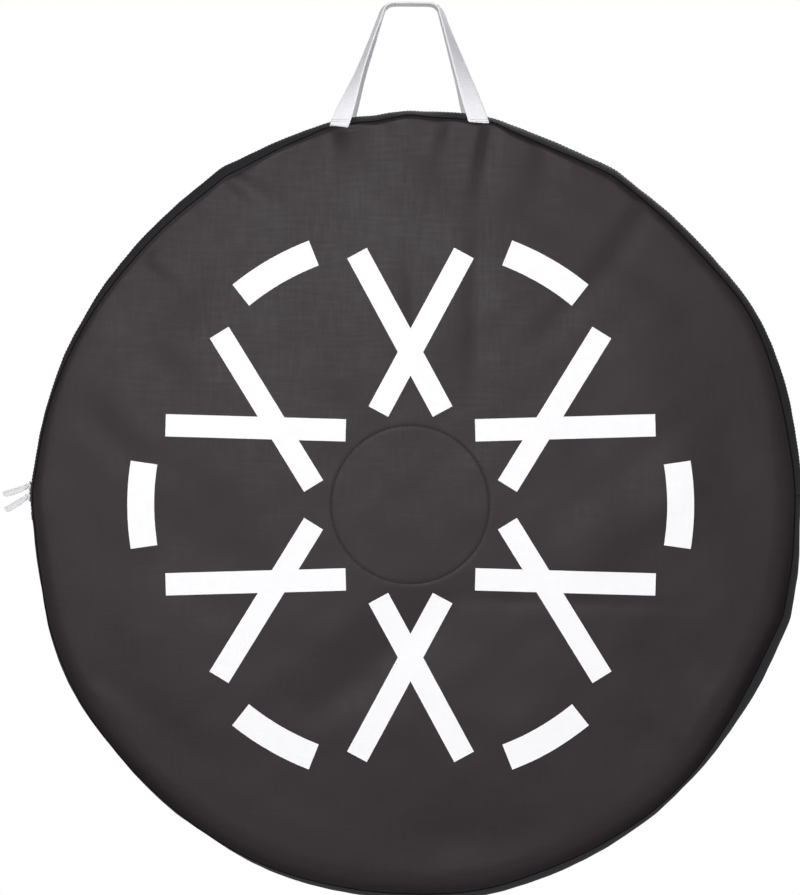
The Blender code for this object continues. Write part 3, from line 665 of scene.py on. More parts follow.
def panel_cover(name, side):
    """A panel's padded cloth: outer face, rolled edge and lining, as one closed shell."""
    angle = np.linspace(0, math.tau, PANEL_TURNS, endpoint=False)
    rim = seam_radius(angle, side)
    # Where the rings lie, as shares of the radius: closest at the hub's stitches and on the rolled edge
    hub_share = HUB_STITCH_RADIUS / MEAN_SEAM_RADIUS
    outer_shares = np.concatenate(
        [
            np.linspace(0.012, hub_share - 0.012, 18),
            [hub_share + step * 0.0022 for step in (-2.2, -1.2, -0.5, 0, 0.5, 1.2, 2.2)],
            np.linspace(hub_share + 0.012, 0.94, 66),
            np.linspace(0.946, 0.982, 9),
            1 - np.linspace(0.122, 0.0, 13) ** 2,
        ]
    )
    inner_shares = np.concatenate([[0.9975, 0.993, 0.986, 0.975], np.linspace(0.96, 0.012, 34)])

    def ring(share):
        """One ring's x and z: round the hub circle near the middle, and along the slack rim further out."""
        spread = smooth((share - 0.22) / 0.6)
        radius = share * (MEAN_SEAM_RADIUS + (rim - MEAN_SEAM_RADIUS) * spread)
        return HUB_SHIFT * (1 - spread) + radius * np.cos(angle), HUB_HEIGHT + radius * np.sin(angle)

    rings = []
    for share in outer_shares:
        x, z = ring(share)
        rings.append(np.stack([x, panel_depth(x, z, angle, side), z], 1))
    for share in inner_shares:
        x, z = ring(share)
        outer_depth = side * panel_depth(x, z, angle, side)
        edge = smooth((1 - share) * rim / LINING_REACH)
        depth = (SEAM_DEPTH - LINING_DROP) * (1 - edge) + (outer_depth - PANEL_WALL) * edge
        rings.append(np.stack([x, side * np.minimum(depth, outer_depth - LEAST_WALL), z], 1))
    made = disc_shell(name, rings, [PANEL_CLOTH, LINING], len(outer_shares))
    front_map(made)
    # Painted shade: the hem attribute holds how far the front panel's colour is darkened where it turns down
    # into the seam
    painted_shades = np.zeros(len(made.data.vertices), np.float32)
    if side == FRONT:
        inwards = (1 - outer_shares[:, None]) * rim
        painted_seam_shade = round_table(PAINTED_SEAM_SHADES, angle) * np.exp(-((inwards / PAINTED_SEAM_SHADE_REACH) ** 2))
        painted_shades[: painted_seam_shade.size] = painted_seam_shade.ravel()
    made.data.attributes.new("hem", "FLOAT", "POINT").data.foreach_set("value", painted_shades)
    return made


def hub_circle(side, radius, below, count=240):
    """Points of a circle round the hub patch, so far below a panel's outer face."""
    angle = np.linspace(0, math.tau, count, endpoint=False)
    x, z = HUB_SHIFT + radius * np.cos(angle), HUB_HEIGHT + radius * np.sin(angle)
    return np.stack([x, panel_depth(x, z, angle, side) - side * below, z], 1)


def patch_sheet(name, side):
    """A hub patch: a round sheet inside a panel that follows its lining."""
    shares = np.linspace(0.04, 1, 16)
    rings = []
    for below, order in ((PATCH_GAP, shares), (PATCH_GAP + HUB_PATCH_WALL, shares[::-1])):
        rings += [hub_circle(side, share * HUB_PATCH_RADIUS, PANEL_WALL + below, 120) for share in order]
    return disc_shell(name, rings, [VINYL], len(shares))


def band_radius(angle, depth):
    """The outer radius of the side band at a depth: a soft dome between its two seams."""
    edge = np.where(depth < 0, seam_radius(angle, FRONT), seam_radius(angle, BACK))
    return edge + (ridge_radius(angle) - edge) * (1 - np.abs(depth / SEAM_DEPTH) ** BAND_DOME_POWER)


def slack_radius(angle, depth):
    """The side band's radius with its shallow waves, none at its seams."""
    free = 1 - np.abs(depth / SEAM_DEPTH) ** 4
    run = angle * TRACK_RADIUS
    waves = 0.0
    for i, (height, length, share) in enumerate(BAND_WAVES):
        waves = waves + height * unevenness(run, depth * share, BAND_SEED + i, length)
    return band_radius(angle, depth) + free * waves


def zip_radius(angle, _depth):
    """The radius of the zip's middle plane, a little below the side band and nearer to it at the sliders."""
    return ridge_radius(angle) - ZIP_DROP + humps(angle, ZIP_HUMPS)


def round_hub(depth, radius, angle):
    """Points at these depths and radii, at angles round the hub."""
    return np.stack([radius * np.cos(angle), depth + 0 * angle, HUB_HEIGHT + radius * np.sin(angle)], -1)


def arc_line(span, depth, radius_at, step=0.003):
    """Points along a span of angles at one depth, at the radius that a function gives there."""
    angle = np.linspace(*span, max(2, round((span[1] - span[0]) * TRACK_RADIUS / step)))
    return round_hub(depth, radius_at(angle, depth), angle)


def ring_piece(name, looks, section, span=None, step=0.0045):
    """A closed section swept round the hub, or over a span of angles.

    section(angles) gives (depth, radius) pairs: the outer face, then the inner one with the last look.
    """
    start, end = span or (0.0, math.tau)
    turns = max(2, round((end - start) * TRACK_RADIUS / step))
    angle = np.linspace(start, end, turns + 1 if span else turns, endpoint=bool(span))
    loop = [round_hub(depth, radius, angle) for depth, radius in section(angle)]
    count = len(loop)
    faces = grid_faces(len(angle), count, wrap_rows=not span)
    slots = [len(looks) - 1 if count // 2 <= i % count < count - 1 else 0 for i in range(len(faces))]
    if span:
        faces += end_faces(len(angle), count)
        slots += [0] * (len(faces) - len(slots))
    made = mesh_object(name, np.stack(loop, 1).reshape(-1, 3), faces, looks, slots)
    across = np.cumsum([0.0] + [float(np.linalg.norm(b[0] - a[0])) for a, b in zip(loop, loop[1:])])
    round_trip = None if span else math.tau * TRACK_RADIUS
    cloth_map(made, np.repeat(angle * TRACK_RADIUS, count), np.tile(across, len(angle)), round_trip)
    return made


def sheet_section(rows, radius_at):
    """A sheet's section, from rows of a depth and how far its faces are above and below a radius there."""

    def section(angle):
        outer = [(depth, radius_at(angle, depth) + above) for depth, above, _ in rows]
        inner = [(depth, radius_at(angle, depth) - below) for depth, _, below in rows]
        return outer + inner[::-1]

    return section


def wall_section(low, high, count=15, hem=None):
    """A length of side band between two depths, with its edge turned in at the depth beside the zip."""
    rows = []
    for depth in np.linspace(low, high, count):
        tuck = HEM_TUCK if depth == hem else 0.0
        rows.append((depth, -tuck, BAND_WALL - tuck))
    return sheet_section(rows, slack_radius)


def tape_section(side):
    """A zip tape, from beside its coil to its edge under the side band, where it hangs a little lower."""
    rows = []
    for share in (0, 0.33, 0.66, 1):
        sag = TAPE_SAG * share**2
        depth = side * (TAPE_START + (TAPE_REACH - TAPE_START) * share)
        rows.append((depth, TAPE_WALL / 2 - sag, TAPE_WALL / 2 + sag))
    return sheet_section(rows, zip_radius)


def binding_section(side):
    """Tape folded over the raw edge of a seam, in the corner inside it."""
    top = BAND_WALL + BINDING_GAP
    rows = [(side * depth * MILLIMETRE, -top, top + thick * MILLIMETRE) for depth, thick in BINDING_MM]
    return sheet_section(rows, band_radius)


def tab_section():
    """A folded tab sewn across the side band over one end of the zip, thinner at its two edges."""
    shares = np.linspace(-1, 1, 11)
    rows = [(s * TAB_HALF_DEPTH, TAB_WALL * (2 - abs(s) ** 6), TAB_WALL) for s in shares]
    return sheet_section(rows, slack_radius)


def seam_shadow_section(side):
    """A near-black cord in the valley of a seam: painted shadow of the valley."""

    def section(angle):
        rim = seam_radius(angle, side) - SEAM_SHADOW_DROP
        turns = np.linspace(0, math.tau, 6, endpoint=False)
        depth = SEAM_DEPTH + SEAM_SHADOW_SHIFT
        return [(side * (depth + SEAM_SHADOW_RADIUS * math.cos(t)), rim + SEAM_SHADOW_RADIUS * math.sin(t)) for t in turns]

    return section


# Geometry trees for what repeats


def geometry_tree(name, **sockets):
    """A geometry tree with named inputs after its geometry: the tree, its inputs and their identifiers."""
    tree = bpy.data.node_groups.new(name, "GeometryNodeTree")
    tree.interface.new_socket(name="Geometry", in_out="INPUT", socket_type="NodeSocketGeometry")
    tree.interface.new_socket(name="Geometry", in_out="OUTPUT", socket_type="NodeSocketGeometry")
    keys = {}
    for label, kind in sockets.items():
        socket = tree.interface.new_socket(name=label, in_out="INPUT", socket_type=f"NodeSocket{kind}")
        keys[label] = socket.identifier
    return tree, put(tree, "NodeGroupInput").outputs, keys


def close_tree(tree, geometry, look):
    """Realizes the instances, sets the material and ends the tree."""
    real = put(tree, "GeometryNodeRealizeInstances", (geometry,))
    shaded = put(tree, "GeometryNodeSetShadeSmooth", {"Geometry": real})
    dressed = put(tree, "GeometryNodeSetMaterial", {"Geometry": shaded, "Material": look})
    put(tree, "NodeGroupOutput", (dressed,))


def along_line(tree, given, axis):
    """Evenly spaced points on the tree's line, and the rotation that turns an axis along it."""
    even = {"Curve": given["Geometry"], "Length": given["Spacing"]}
    tangent = put(tree, "GeometryNodeInputTangent")
    heading = put(tree, "FunctionNodeAlignRotationToVector", {"Vector": tangent}, axis=axis)
    return put(tree, "GeometryNodeResampleCurve", even, mode="LENGTH"), heading


def stitch_tree():
    """A row of stitches along a line: short rounded lengths of thread, half sunk in the cloth."""
    tree, given, keys = geometry_tree("stitch_row", Spacing="Float", Size="Vector", Look="Material")
    spots, heading = along_line(tree, given, "X")
    bead = put(tree, "GeometryNodeMeshUVSphere", {"Segments": 6, "Rings": 5, "Radius": 0.5})
    row = {"Points": spots, "Instance": bead, "Rotation": heading, "Scale": given["Size"]}
    close_tree(tree, put(tree, "GeometryNodeInstanceOnPoints", row), given["Look"])
    return tree, keys


def coil_tree():
    """A zip coil: oval loops of nylon round the edge of its tape, one at every step."""
    sockets = {"Spacing": "Float", "Size": "Vector", "Wire": "Float", "Look": "Material"}
    tree, given, keys = geometry_tree("zip_coil", **sockets)
    spots, heading = along_line(tree, given, "Z")
    upright = {"Rotation": heading, "Vector": (0.0, 1.0, 0.0)}
    level = put(tree, "FunctionNodeAlignRotationToVector", upright, axis="X", pivot_axis="Z")
    loop = put(tree, "GeometryNodeCurvePrimitiveCircle", {"Resolution": 10, "Radius": 0.5})
    oval = put(tree, "GeometryNodeTransform", {"Geometry": loop, "Scale": given["Size"]})
    wire = put(tree, "GeometryNodeCurvePrimitiveCircle", {"Resolution": 6, "Radius": given["Wire"]})
    tooth = put(tree, "GeometryNodeCurveToMesh", {"Curve": oval, "Profile Curve": wire})
    row = {"Points": spots, "Instance": tooth, "Rotation": level}
    close_tree(tree, put(tree, "GeometryNodeInstanceOnPoints", row), given["Look"])
    return tree, keys


def print_tree():
    """A motif repeated round the hub, laid on the panel and raised by the ink's thickness."""
    vectors = dict.fromkeys(("Near", "Far", "Hub", "Lift"), "Vector")
    tree, given, keys = geometry_tree(
        "print_motif", Panel="Object", Copies="Int", Turn="Float", Look="Material", **vectors
    )
    even = {"Curve": given["Geometry"], "Length": PRINT_STEP}
    line = put(tree, "GeometryNodeResampleCurve", even, mode="LENGTH")
    upright = put(tree, "GeometryNodeSetCurveNormal", {"Curve": line, "Normal": (0.0, 1.0, 0.0)}, mode="FREE")
    across = put(tree, "GeometryNodeCurvePrimitiveLine", {"Start": given["Near"], "End": given["Far"]})
    fine = put(tree, "GeometryNodeResampleCurve", {"Curve": across, "Count": 6}, mode="COUNT")
    strip = put(tree, "GeometryNodeCurveToMesh", {"Curve": upright, "Profile Curve": fine})
    spots = put(tree, "GeometryNodePoints", {"Count": given["Copies"], "Position": given["Hub"]})
    index = put(tree, "GeometryNodeInputIndex")
    turn = put(tree, "ShaderNodeMath", (index, given["Turn"]), operation="MULTIPLY")
    round_y = put(tree, "ShaderNodeCombineXYZ", {"Y": turn})
    copies = {"Points": spots, "Instance": strip, "Rotation": round_y}
    real = put(tree, "GeometryNodeRealizeInstances", (put(tree, "GeometryNodeInstanceOnPoints", copies),))
    panel = put(tree, "GeometryNodeObjectInfo", {"Object": given["Panel"]}).outputs["Geometry"]
    ray = {"Target Geometry": panel, "Ray Direction": (0.0, 1.0, 0.0), "Ray Length": 1.0}
    hit = put(tree, "GeometryNodeRaycast", ray).outputs
    laid = {"Geometry": real, "Selection": hit["Is Hit"]}
    laid |= {"Position": hit["Hit Position"], "Offset": given["Lift"]}
    close_tree(tree, put(tree, "GeometryNodeSetPosition", laid), given["Look"])
    return tree, keys


STITCHES = stitch_tree()
COILS = coil_tree()
PRINTS = print_tree()


def settled_mesh(made):
    """A plain mesh of an object with its modifiers applied."""
    made.update_tag()
    bpy.context.view_layer.update()
    graph = bpy.context.evaluated_depsgraph_get()
    return bpy.data.meshes.new_from_object(made.evaluated_get(graph))


def settle(made):
    """Applies an object's modifiers to its own mesh, and shades it smooth."""
    mesh = settled_mesh(made)
    made.modifiers.clear()
    made.data = mesh
    mesh.shade_smooth()


def grown(name, made_tree, lines, values, closed=False):
    """A plain mesh of what a tree makes along lines of points. Its inputs are set by their identifiers."""
    tree, keys = made_tree
    curve = bpy.data.curves.new(f"{name}_guide", "CURVE")
    curve.dimensions = "3D"
    for line in lines:
        spline = curve.splines.new("POLY")
        spline.points.add(len(line) - 1)
        spline.points.foreach_set("co", np.insert(np.asarray(line, float), 3, 1.0, axis=1).ravel())
        spline.use_cyclic_u = closed
    guide = placed(f"{name}_guide", curve)
    modifier = guide.modifiers.new("tree", "NODES")
    modifier.node_group = tree
    for label, value in values.items():
        modifier[keys[label]] = value
    mesh = settled_mesh(guide)
    bpy.data.objects.remove(guide)
    mesh.name = name
    return placed(name, mesh)


def stitching(name, lines, spacing=0.0036, stitch=0.0027, thread=0.0007, closed=False, look=THREAD):
    """Rows of stitches along lines."""
    values = {"Spacing": spacing, "Size": Vector((stitch, thread, thread)), "Look": look}
    return grown(name, STITCHES, lines, values, closed)


# The handles


def handle_leg(way, side):
    """Half of a handle's centre line, from its foot to the middle of its bar. way is -1 on the left.

    Each point has its share of the way: 0 to 1 up the leg, and on to 2 round the corner.
    """
    height = BAR_HEIGHT + (BAR_LIFT if side == BACK else 0.0)
    corner = np.array([way * BAR_HALF_SPANS[way], side * BAR_DEPTH, height])
    foot = np.array([way * FOOT_HALF_SPAN, side * FOOT_DEPTH, FOOT_HEIGHT])
    middle = np.array([0.0, side * BAR_DEPTH, height])
    down = (foot - corner) / np.linalg.norm(foot - corner)
    leg_end = corner + down * HANDLE_CORNER
    bar_start = corner - (way * HANDLE_CORNER, 0, 0)
    points = [foot + down * drop - (0, side * sink, 0) for drop, sink in FOOT_TUCKS]
    shares = [0.0] * len(points)
    for s in np.linspace(0.02, 1, 40):
        points.append(foot + (leg_end - foot) * s)
        shares.append(s)
    for s in np.linspace(0, 1, 12)[1:]:
        points.append((1 - s) ** 2 * leg_end + 2 * s * (1 - s) * corner + s**2 * bar_start)
        shares.append(1 + s)
    for s in np.linspace(0, 1, 8)[1:]:
        points.append(bar_start + (middle - bar_start) * s)
        shares.append(2.0)
    return np.array(points), shares


def softened(rows, width):
    """Rows of values averaged with their neighbours. The first and last stay."""
    reach = width // 2
    ends = np.concatenate([np.repeat(rows[:1], reach, 0), rows, np.repeat(rows[-1:], reach, 0)])
    kernel = np.ones(width) / width
    return np.stack([np.convolve(column, kernel, "valid") for column in ends.T], 1)


def handle_route(side):
    """Evenly spaced centre points of a handle from foot to foot, with their twists and distances."""
    halves = []
    for way, twists in ((-1, LEFT_TWISTS), (1, RIGHT_TWISTS)):
        points, shares = handle_leg(way, side)
        halves.append(np.column_stack([points, np.interp(shares, *zip(*twists[side]))]))
    rows = np.concatenate([halves[0], halves[1][-2::-1]])
    run = np.concatenate([[0], np.cumsum(np.linalg.norm(np.diff(rows[:, :3], axis=0), axis=1))])
    even = np.linspace(0, run[-1], round(run[-1] / (RIB_PITCH / 4)) + 1)
    rows = np.stack([np.interp(even, run, column) for column in rows.T], 1)
    twists = np.radians(softened(rows[:, 3:], TWIST_WIDTH)[:, 0])
    return softened(rows[:, :3], WAY_WIDTH), twists, even


def unit(rows):
    """Rows of vectors, each brought to length 1."""
    return rows / np.linalg.norm(rows, axis=1)[:, None]


def handle_cover(name, side, seed):
    """A webbing loop with real ribs and rounded selvedges: flat at its feet, a quarter turn on at the top."""
    route, twists, run = handle_route(side)
    across_depth = np.array([[0.0, 1.0, 0.0]])
    along = unit(softened(np.gradient(route, axis=0), HEADING_WIDTH))
    outwards = unit(np.cross(along, across_depth))
    width = outwards * np.cos(twists)[:, None] - side * across_depth * np.sin(twists)[:, None]
    width = unit(width - along * (width * along).sum(1)[:, None])
    through = np.cross(along, width)
    rib = np.cos(run / RIB_PITCH * math.tau)
    free = smooth(np.minimum(run, run[-1] - run) / FOOT_REACH)
    ripple = RIPPLE * np.sin(run * RIPPLE_TURNS + seed) * free
    half_width = HANDLE_WIDTH / 2 * (1 - RIB_WAIST * (1 - rib) / 2)
    slant = LEFT_FOOT_SLANT * (1 - smooth(run / FOOT_REACH)) * half_width
    upright = np.array([[0.0, 0.0, 1.0]])
    loop = []
    for way, profile in ((1, WEBBING_PROFILE), (-1, WEBBING_PROFILE[::-1])):
        for w, t in profile:
            half_wall = HANDLE_WALL / 2 * (t + RIB_RELIEF * rib * min(1, t))
            edge = route + width * (half_width * w)[:, None] - upright * (slant * w)[:, None]
            loop.append(edge + through * (way * half_wall + ripple * w)[:, None])
    rows, count = len(route), len(loop)
    points = np.stack(loop, 1).reshape(-1, 3) + (HANDLE_SHIFT, 0, 0)
    made = mesh_object(name, points, grid_faces(rows, count) + end_faces(rows, count), [WEBBING])
    places = [w for w, _ in WEBBING_PROFILE]
    lateral = np.array(places + places[::-1]) * HANDLE_WIDTH / 2
    cloth_map(made, np.repeat(run, count), np.tile(lateral, rows))
    return made


def handle_tacks(name, side):
    """Two rows of stitches across each foot of a handle."""
    lines = []
    for way in (-1, 1):
        for rise in TACK_RISES:
            x, z = way * FOOT_HALF_SPAN + HANDLE_SHIFT, FOOT_HEIGHT + rise
            half = HANDLE_WIDTH / 2 - TACK_MARGIN
            y = side * (FOOT_DEPTH + HANDLE_WALL / 2 - TACK_SINK)
            lines.append([(x - half, y, z), (x + half, y, z)])
    return stitching(name, lines, spacing=0.0015, stitch=0.0013, thread=0.0005, look=PALE_THREAD)


# Sliders and pulls


def slider_casting(name, node):
    """A slider's solid with its loose triangles merged and its edges rounded."""
    mesh = bpy.data.objects[node].data.copy()
    shape = bmesh.new()
    shape.from_mesh(mesh)
    bmesh.ops.remove_doubles(shape, verts=shape.verts, dist=2e-6)
    bmesh.ops.dissolve_limit(shape, angle_limit=math.radians(1.5), verts=shape.verts, edges=shape.edges)
    bmesh.ops.recalc_face_normals(shape, faces=shape.faces)
    shape.to_mesh(mesh)
    shape.free()
    mesh.materials.clear()
    mesh.materials.append(ENAMEL)
    made = placed(name, mesh)
    rounding = made.modifiers.new("rounded_edges", "BEVEL")
    rounding.width = SLIDER_EDGE
    rounding.segments = 2
    rounding.limit_method = "ANGLE"
    rounding.angle_limit = math.radians(40)
    settle(made)
    return made


def pull_eye(name):
    """The loop of a pull that goes round its slider's bridge, a little higher where it meets the strip."""
    far, near = PULL_EYE_END - PULL_EYE_CORNER, PULL_EYE_CORNER
    half = PULL_EYE_HALF - PULL_EYE_CORNER
    loop = []
    for quarter, (cx, cy) in enumerate(((far, half), (near, half), (near, -half), (far, -half))):
        for step in range(5):
            a = math.radians(quarter * 90 + step * 22.5)
            loop.append((cx, cy, math.cos(a), math.sin(a)))
    points = []
    for cx, cy, nx, ny in loop:
        x, y = cx + PULL_EYE_CORNER * nx, cy + PULL_EYE_CORNER * ny
        height = PULL_ROOT_WIDTH + (PULL_NECK_WIDTH - PULL_ROOT_WIDTH) * float(smooth(x / PULL_EYE_END * 1.6))
        for i in range(12):
            t = math.tau * i / 12
            lift = PULL_ARM / 2 * math.cos(t)
            points.append((x + nx * lift - PULL_EYE_BACK, y + ny * lift, height / 2 * math.sin(t)))
    return mesh_object(name, points, grid_faces(len(loop), 12, wrap_rows=True), [RUBBER])


def pull_cover(name, angle, droop, sag):
    """A moulded pull: a strip with a raised rim that widens to a blunt tip, and an eye round the bridge."""
    start = PULL_EYE_END - PULL_EYE_OVERLAP
    straight = PULL_LENGTH - PULL_TIP_CORNER
    stations = list(start + (straight - start) * np.linspace(0, 1, 30))
    taper = smooth((np.array(stations) - start) / PULL_TAPER)
    widths = list(PULL_NECK_WIDTH / 2 + (PULL_WIDTH - PULL_NECK_WIDTH) / 2 * taper)
    for a in np.radians(np.linspace(0, 86, 8)[1:]):
        stations.append(straight + PULL_TIP_CORNER * math.sin(a))
        widths.append(PULL_WIDTH / 2 - PULL_TIP_CORNER * (1 - math.cos(a)))
    profile = [*PULL_PROFILE, *((-w, t) for w, t in PULL_PROFILE[-2::-1])]
    strip = []
    for x, half in zip(stations, widths):
        rim = 1.0 - PULL_TIP_THINNING * max(0.0, (x - straight) / PULL_TIP_CORNER) ** 3
        closing = smooth((x - straight + PULL_RIM_START) / PULL_RIM_REACH)
        drop = sag * ((x - start) / (PULL_LENGTH - start)) ** 2
        for way, pairs in ((1, profile), (-1, profile[::-1])):
            tall = [(w, t if abs(w) > 0.9 else max(t, closing)) for w, t in pairs]
            strip += [(x, way * PULL_WALL / 2 * t * rim, half * w - drop) for w, t in tall]
    count = len(profile) * 2
    faces = grid_faces(len(stations), count)
    faces += [range(count), range((len(stations) - 1) * count, len(stations) * count)]
    eye = pull_eye(f"{name}_eye")
    made = mesh_object(name, strip, faces, [RUBBER])
    joined = made.modifiers.new("eye", "BOOLEAN")
    joined.operation = "UNION"
    joined.solver = "EXACT"
    joined.object = eye
    settle(made)
    bpy.data.objects.remove(eye)
    place = round_hub(0.0, PULL_PIN_RADIUS, angle)
    made.data.transform(Matrix.Translation(place) @ Matrix.Rotation(-(angle + droop), 4, "Y"))
    return made


# The pieces of each side


def strip_stitches(name, side):
    """Two rows of stitches along a strip of the side band, beside the zip."""
    return stitching(name, [arc_line(OVER, side * depth, slack_radius) for depth in STRIP_ROWS])


def hub_stitches(name, side, **sizes):
    """The stitches of the hub circle, sunk in a panel."""
    return stitching(name, [hub_circle(side, HUB_STITCH_RADIUS, -STITCH_LIFT)], closed=True, **sizes)


def zip_teeth(name, side, offset):
    """A zip coil between the tabs, so many teeth on from its neighbour."""
    shift = offset * TOOTH_PITCH / TRACK_RADIUS
    span = (RIGHT_ZIP_END + TAB_TURN + shift, LEFT_ZIP_END - TAB_TURN + shift)
    line = arc_line(span, side * COIL_DEPTH, zip_radius, step=TOOTH_PITCH)
    values = {"Spacing": TOOTH_PITCH, "Size": Vector(COIL_SIZE), "Wire": COIL_WIRE, "Look": COIL}
    return grown(name, COILS, [line], values)


covers, patches, strips, tapes, bindings, seam_shadows = {}, {}, {}, {}, {}, {}
teeth, strip_rows, hub_rows, handles, tacks = {}, {}, {}, {}, {}
for side, word in ((FRONT, "front"), (BACK, "back")):
    covers[side] = panel_cover(f"{word}_panel_cover", side)
    patches[side] = patch_sheet(f"{word}_hub_patch_sheet", side)
    bindings[side] = ring_piece(f"{word}_binding_tape", [GROSGRAIN], binding_section(side))
    # A near-black cord in each seam's valley, as painted shadow of that valley
    seam_shadows[side] = ring_piece(f"{word}_seam_welt", [SEAM_SHADOW], seam_shadow_section(side))
for side, word, seed in ((FRONT, "front", 1), (BACK, "rear", 4)):
    wall = wall_section(*sorted((side * ZIP_EDGE, side * SEAM_DEPTH)), hem=side * ZIP_EDGE)
    strips[side] = ring_piece(f"{word}_strip_cover", [BAND_CLOTH, LINING], wall, OVER)
    strip_rows[side] = strip_stitches(f"{word}_strip_stitches", side)
    tapes[side] = ring_piece(f"{word}_zip_tape_cloth", [ZIP_CLOTH], tape_section(side), OVER)
    teeth[side] = zip_teeth(f"{word}_zip_teeth", side, 0.0 if side == FRONT else 0.5)
    handles[side] = handle_cover(f"{word}_handle_webbing", side, seed)
    tacks[side] = handle_tacks(f"{word}_handle_tacks", side)
hub_rows[FRONT] = hub_stitches("front_hub_stitches", FRONT, spacing=0.0044, stitch=0.0031, thread=0.0008)
hub_rows[BACK] = hub_stitches("back_hub_stitches", BACK)

# The lower band and the tabs over the ends of the zip

lower_wall = wall_section(-SEAM_DEPTH, SEAM_DEPTH, 29)
lower_band = ring_piece("lower_band_cover", [BAND_CLOTH, LINING], lower_wall, UNDER)


def zip_tab(name, angle):
    """The tab over one end of the zip."""
    return ring_piece(name, [GROSGRAIN], tab_section(), (angle - TAB_TURN, angle + TAB_TURN), step=0.0008)


def tab_rows(angle):
    """Stitches along the outer edges of a tab, on both strips."""
    depths = np.linspace(-TAB_ROW_HALF_DEPTH, TAB_ROW_HALF_DEPTH, 12)
    edges = (angle - TAB_ROW_SHARE * TAB_TURN, angle + TAB_ROW_SHARE * TAB_TURN)
    return [round_hub(depths, slack_radius(edge, depths) + TAB_ROW_LIFT, edge) for edge in edges]


left_tab = zip_tab("left_zip_tab_cover", LEFT_ZIP_END)
right_tab = zip_tab("right_zip_tab_cover", RIGHT_ZIP_END)
tab_lines = [*tab_rows(LEFT_ZIP_END), *tab_rows(RIGHT_ZIP_END)]
tab_stitches = stitching("zip_tab_stitches", tab_lines, spacing=0.0022, stitch=0.0016, thread=0.0005)

upper_slider = slider_casting("upper_slider_casting", "upper_slider")
lower_slider = slider_casting("lower_slider_casting", "lower_slider")
upper_pull = pull_cover("upper_pull_strip", UPPER_SLIDER_ANGLE, math.radians(27), 0.0026)
lower_pull = pull_cover("lower_pull_strip", LOWER_SLIDER_ANGLE, math.radians(37), 0.0018)

# The print: six pairs of crossed bars with a short arc between them


def from_hub(radius, angle):
    """A point in front of the panel at this radius and angle, in degrees, from the hub."""
    return (radius * math.cos(math.radians(angle)), 0.0, radius * math.sin(math.radians(angle)))


def printed(name, line, width, lift):
    """A motif of the print, repeated round the hub, as a thin closed film of ink on the panel."""
    values = {
        "Panel": covers[FRONT],
        "Copies": PRINT_COPIES,
        "Turn": -math.tau / PRINT_COPIES,
        "Near": Vector((0.0, -width / 2, 0.0)),
        "Far": Vector((0.0, width / 2, 0.0)),
        "Lift": Vector((0.0, -lift, 0.0)),
        "Hub": Vector((HUB_SHIFT, -0.2, HUB_HEIGHT)),
        "Look": SCREEN_INK,
    }
    made = grown(name, PRINTS, [line], values)
    film = made.modifiers.new("ink", "SOLIDIFY")
    film.thickness = INK_WALL
    film.offset = 1.0
    settle(made)
    made.data.set_sharp_from_angle(angle=math.radians(40))
    front_map(made)
    return made


left_bar = [from_hub(PRINT_BAR_INNER, 71), from_hub(PRINT_BAR_OUTER, 102)]
right_bar = [from_hub(PRINT_BAR_INNER, 109), from_hub(PRINT_BAR_OUTER, 78)]
dash = [from_hub(PRINT_DASH_RADIUS, 120 + turn) for turn in np.linspace(-9, 9, 13)]
prints = [
    printed("print_bars_left", left_bar, PRINT_BAR_WIDTH, PRINT_BAR_LIFTS[0]),
    printed("print_bars_right", right_bar, PRINT_BAR_WIDTH, PRINT_BAR_LIFTS[1]),
    printed("print_dashes", dash, PRINT_DASH_WIDTH, PRINT_BAR_LIFTS[0]),
]

# What each piece rides on, the nodes that it replaces and its slot.

FLAP, BAG = "front_flap", "bag"
CARRIED = [
    (covers[FRONT], FLAP, "front_panel_lower front_panel_upper", "panel_cloth"),
    (patches[FRONT], FLAP, "front_hub_patch_lower front_hub_patch_upper", "patch_vinyl"),
    (strips[FRONT], FLAP, "front_gusset_strip front_strip_left_end front_strip_right_end", "band_cloth"),
    (tapes[FRONT], FLAP, "front_zip_tape front_tape_left_end front_tape_right_end", "zip_tape"),
    (teeth[FRONT], FLAP, "front_zip_coil front_coil_left_end front_coil_right_end", "zip_coil"),
    (bindings[FRONT], FLAP, "front_binding_lower front_binding_upper", "lining_tape"),
    (seam_shadows[FRONT], FLAP, "", "lining_tape"),
    *((piece, FLAP, "", None) for piece in (strip_rows[FRONT], hub_rows[FRONT], *prints)),
    (covers[BACK], BAG, "back_panel", "panel_cloth"),
    (patches[BACK], BAG, "back_hub_patch", "patch_vinyl"),
    (lower_band, BAG, "lower_gusset", "band_cloth"),
    (strips[BACK], BAG, "rear_gusset_strip", "band_cloth"),
    (tapes[BACK], BAG, "rear_zip_tape", "zip_tape"),
    (teeth[BACK], BAG, "rear_zip_coil", "zip_coil"),
    (bindings[BACK], BAG, "back_binding", "lining_tape"),
    (seam_shadows[BACK], BAG, "", "lining_tape"),
    (left_tab, BAG, "left_zip_tab", "lining_tape"),
    (right_tab, BAG, "right_zip_tab", "lining_tape"),
    *((piece, BAG, "", None) for piece in (tab_stitches, strip_rows[BACK], hub_rows[BACK])),
    (upper_slider, "upper_slider", "upper_slider", "slider_enamel"),
    (lower_slider, "lower_slider", "lower_slider", "slider_enamel"),
    (upper_pull, "upper_pull", "upper_pull", "pull_rubber"),
    (lower_pull, "lower_pull", "lower_pull", "pull_rubber"),
]
for piece, body, nodes, slot in CARRIED:
    if body == FLAP:
        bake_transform(piece)
    else:
        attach(piece, body)
    if nodes:
        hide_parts(*nodes.split())
for side, carrier, body in ((FRONT, FLAP, "front_handle"), (BACK, BAG, "rear_handle")):
    for piece in (handles[side], tacks[side]):
        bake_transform(piece)
    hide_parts(body)

# The studio

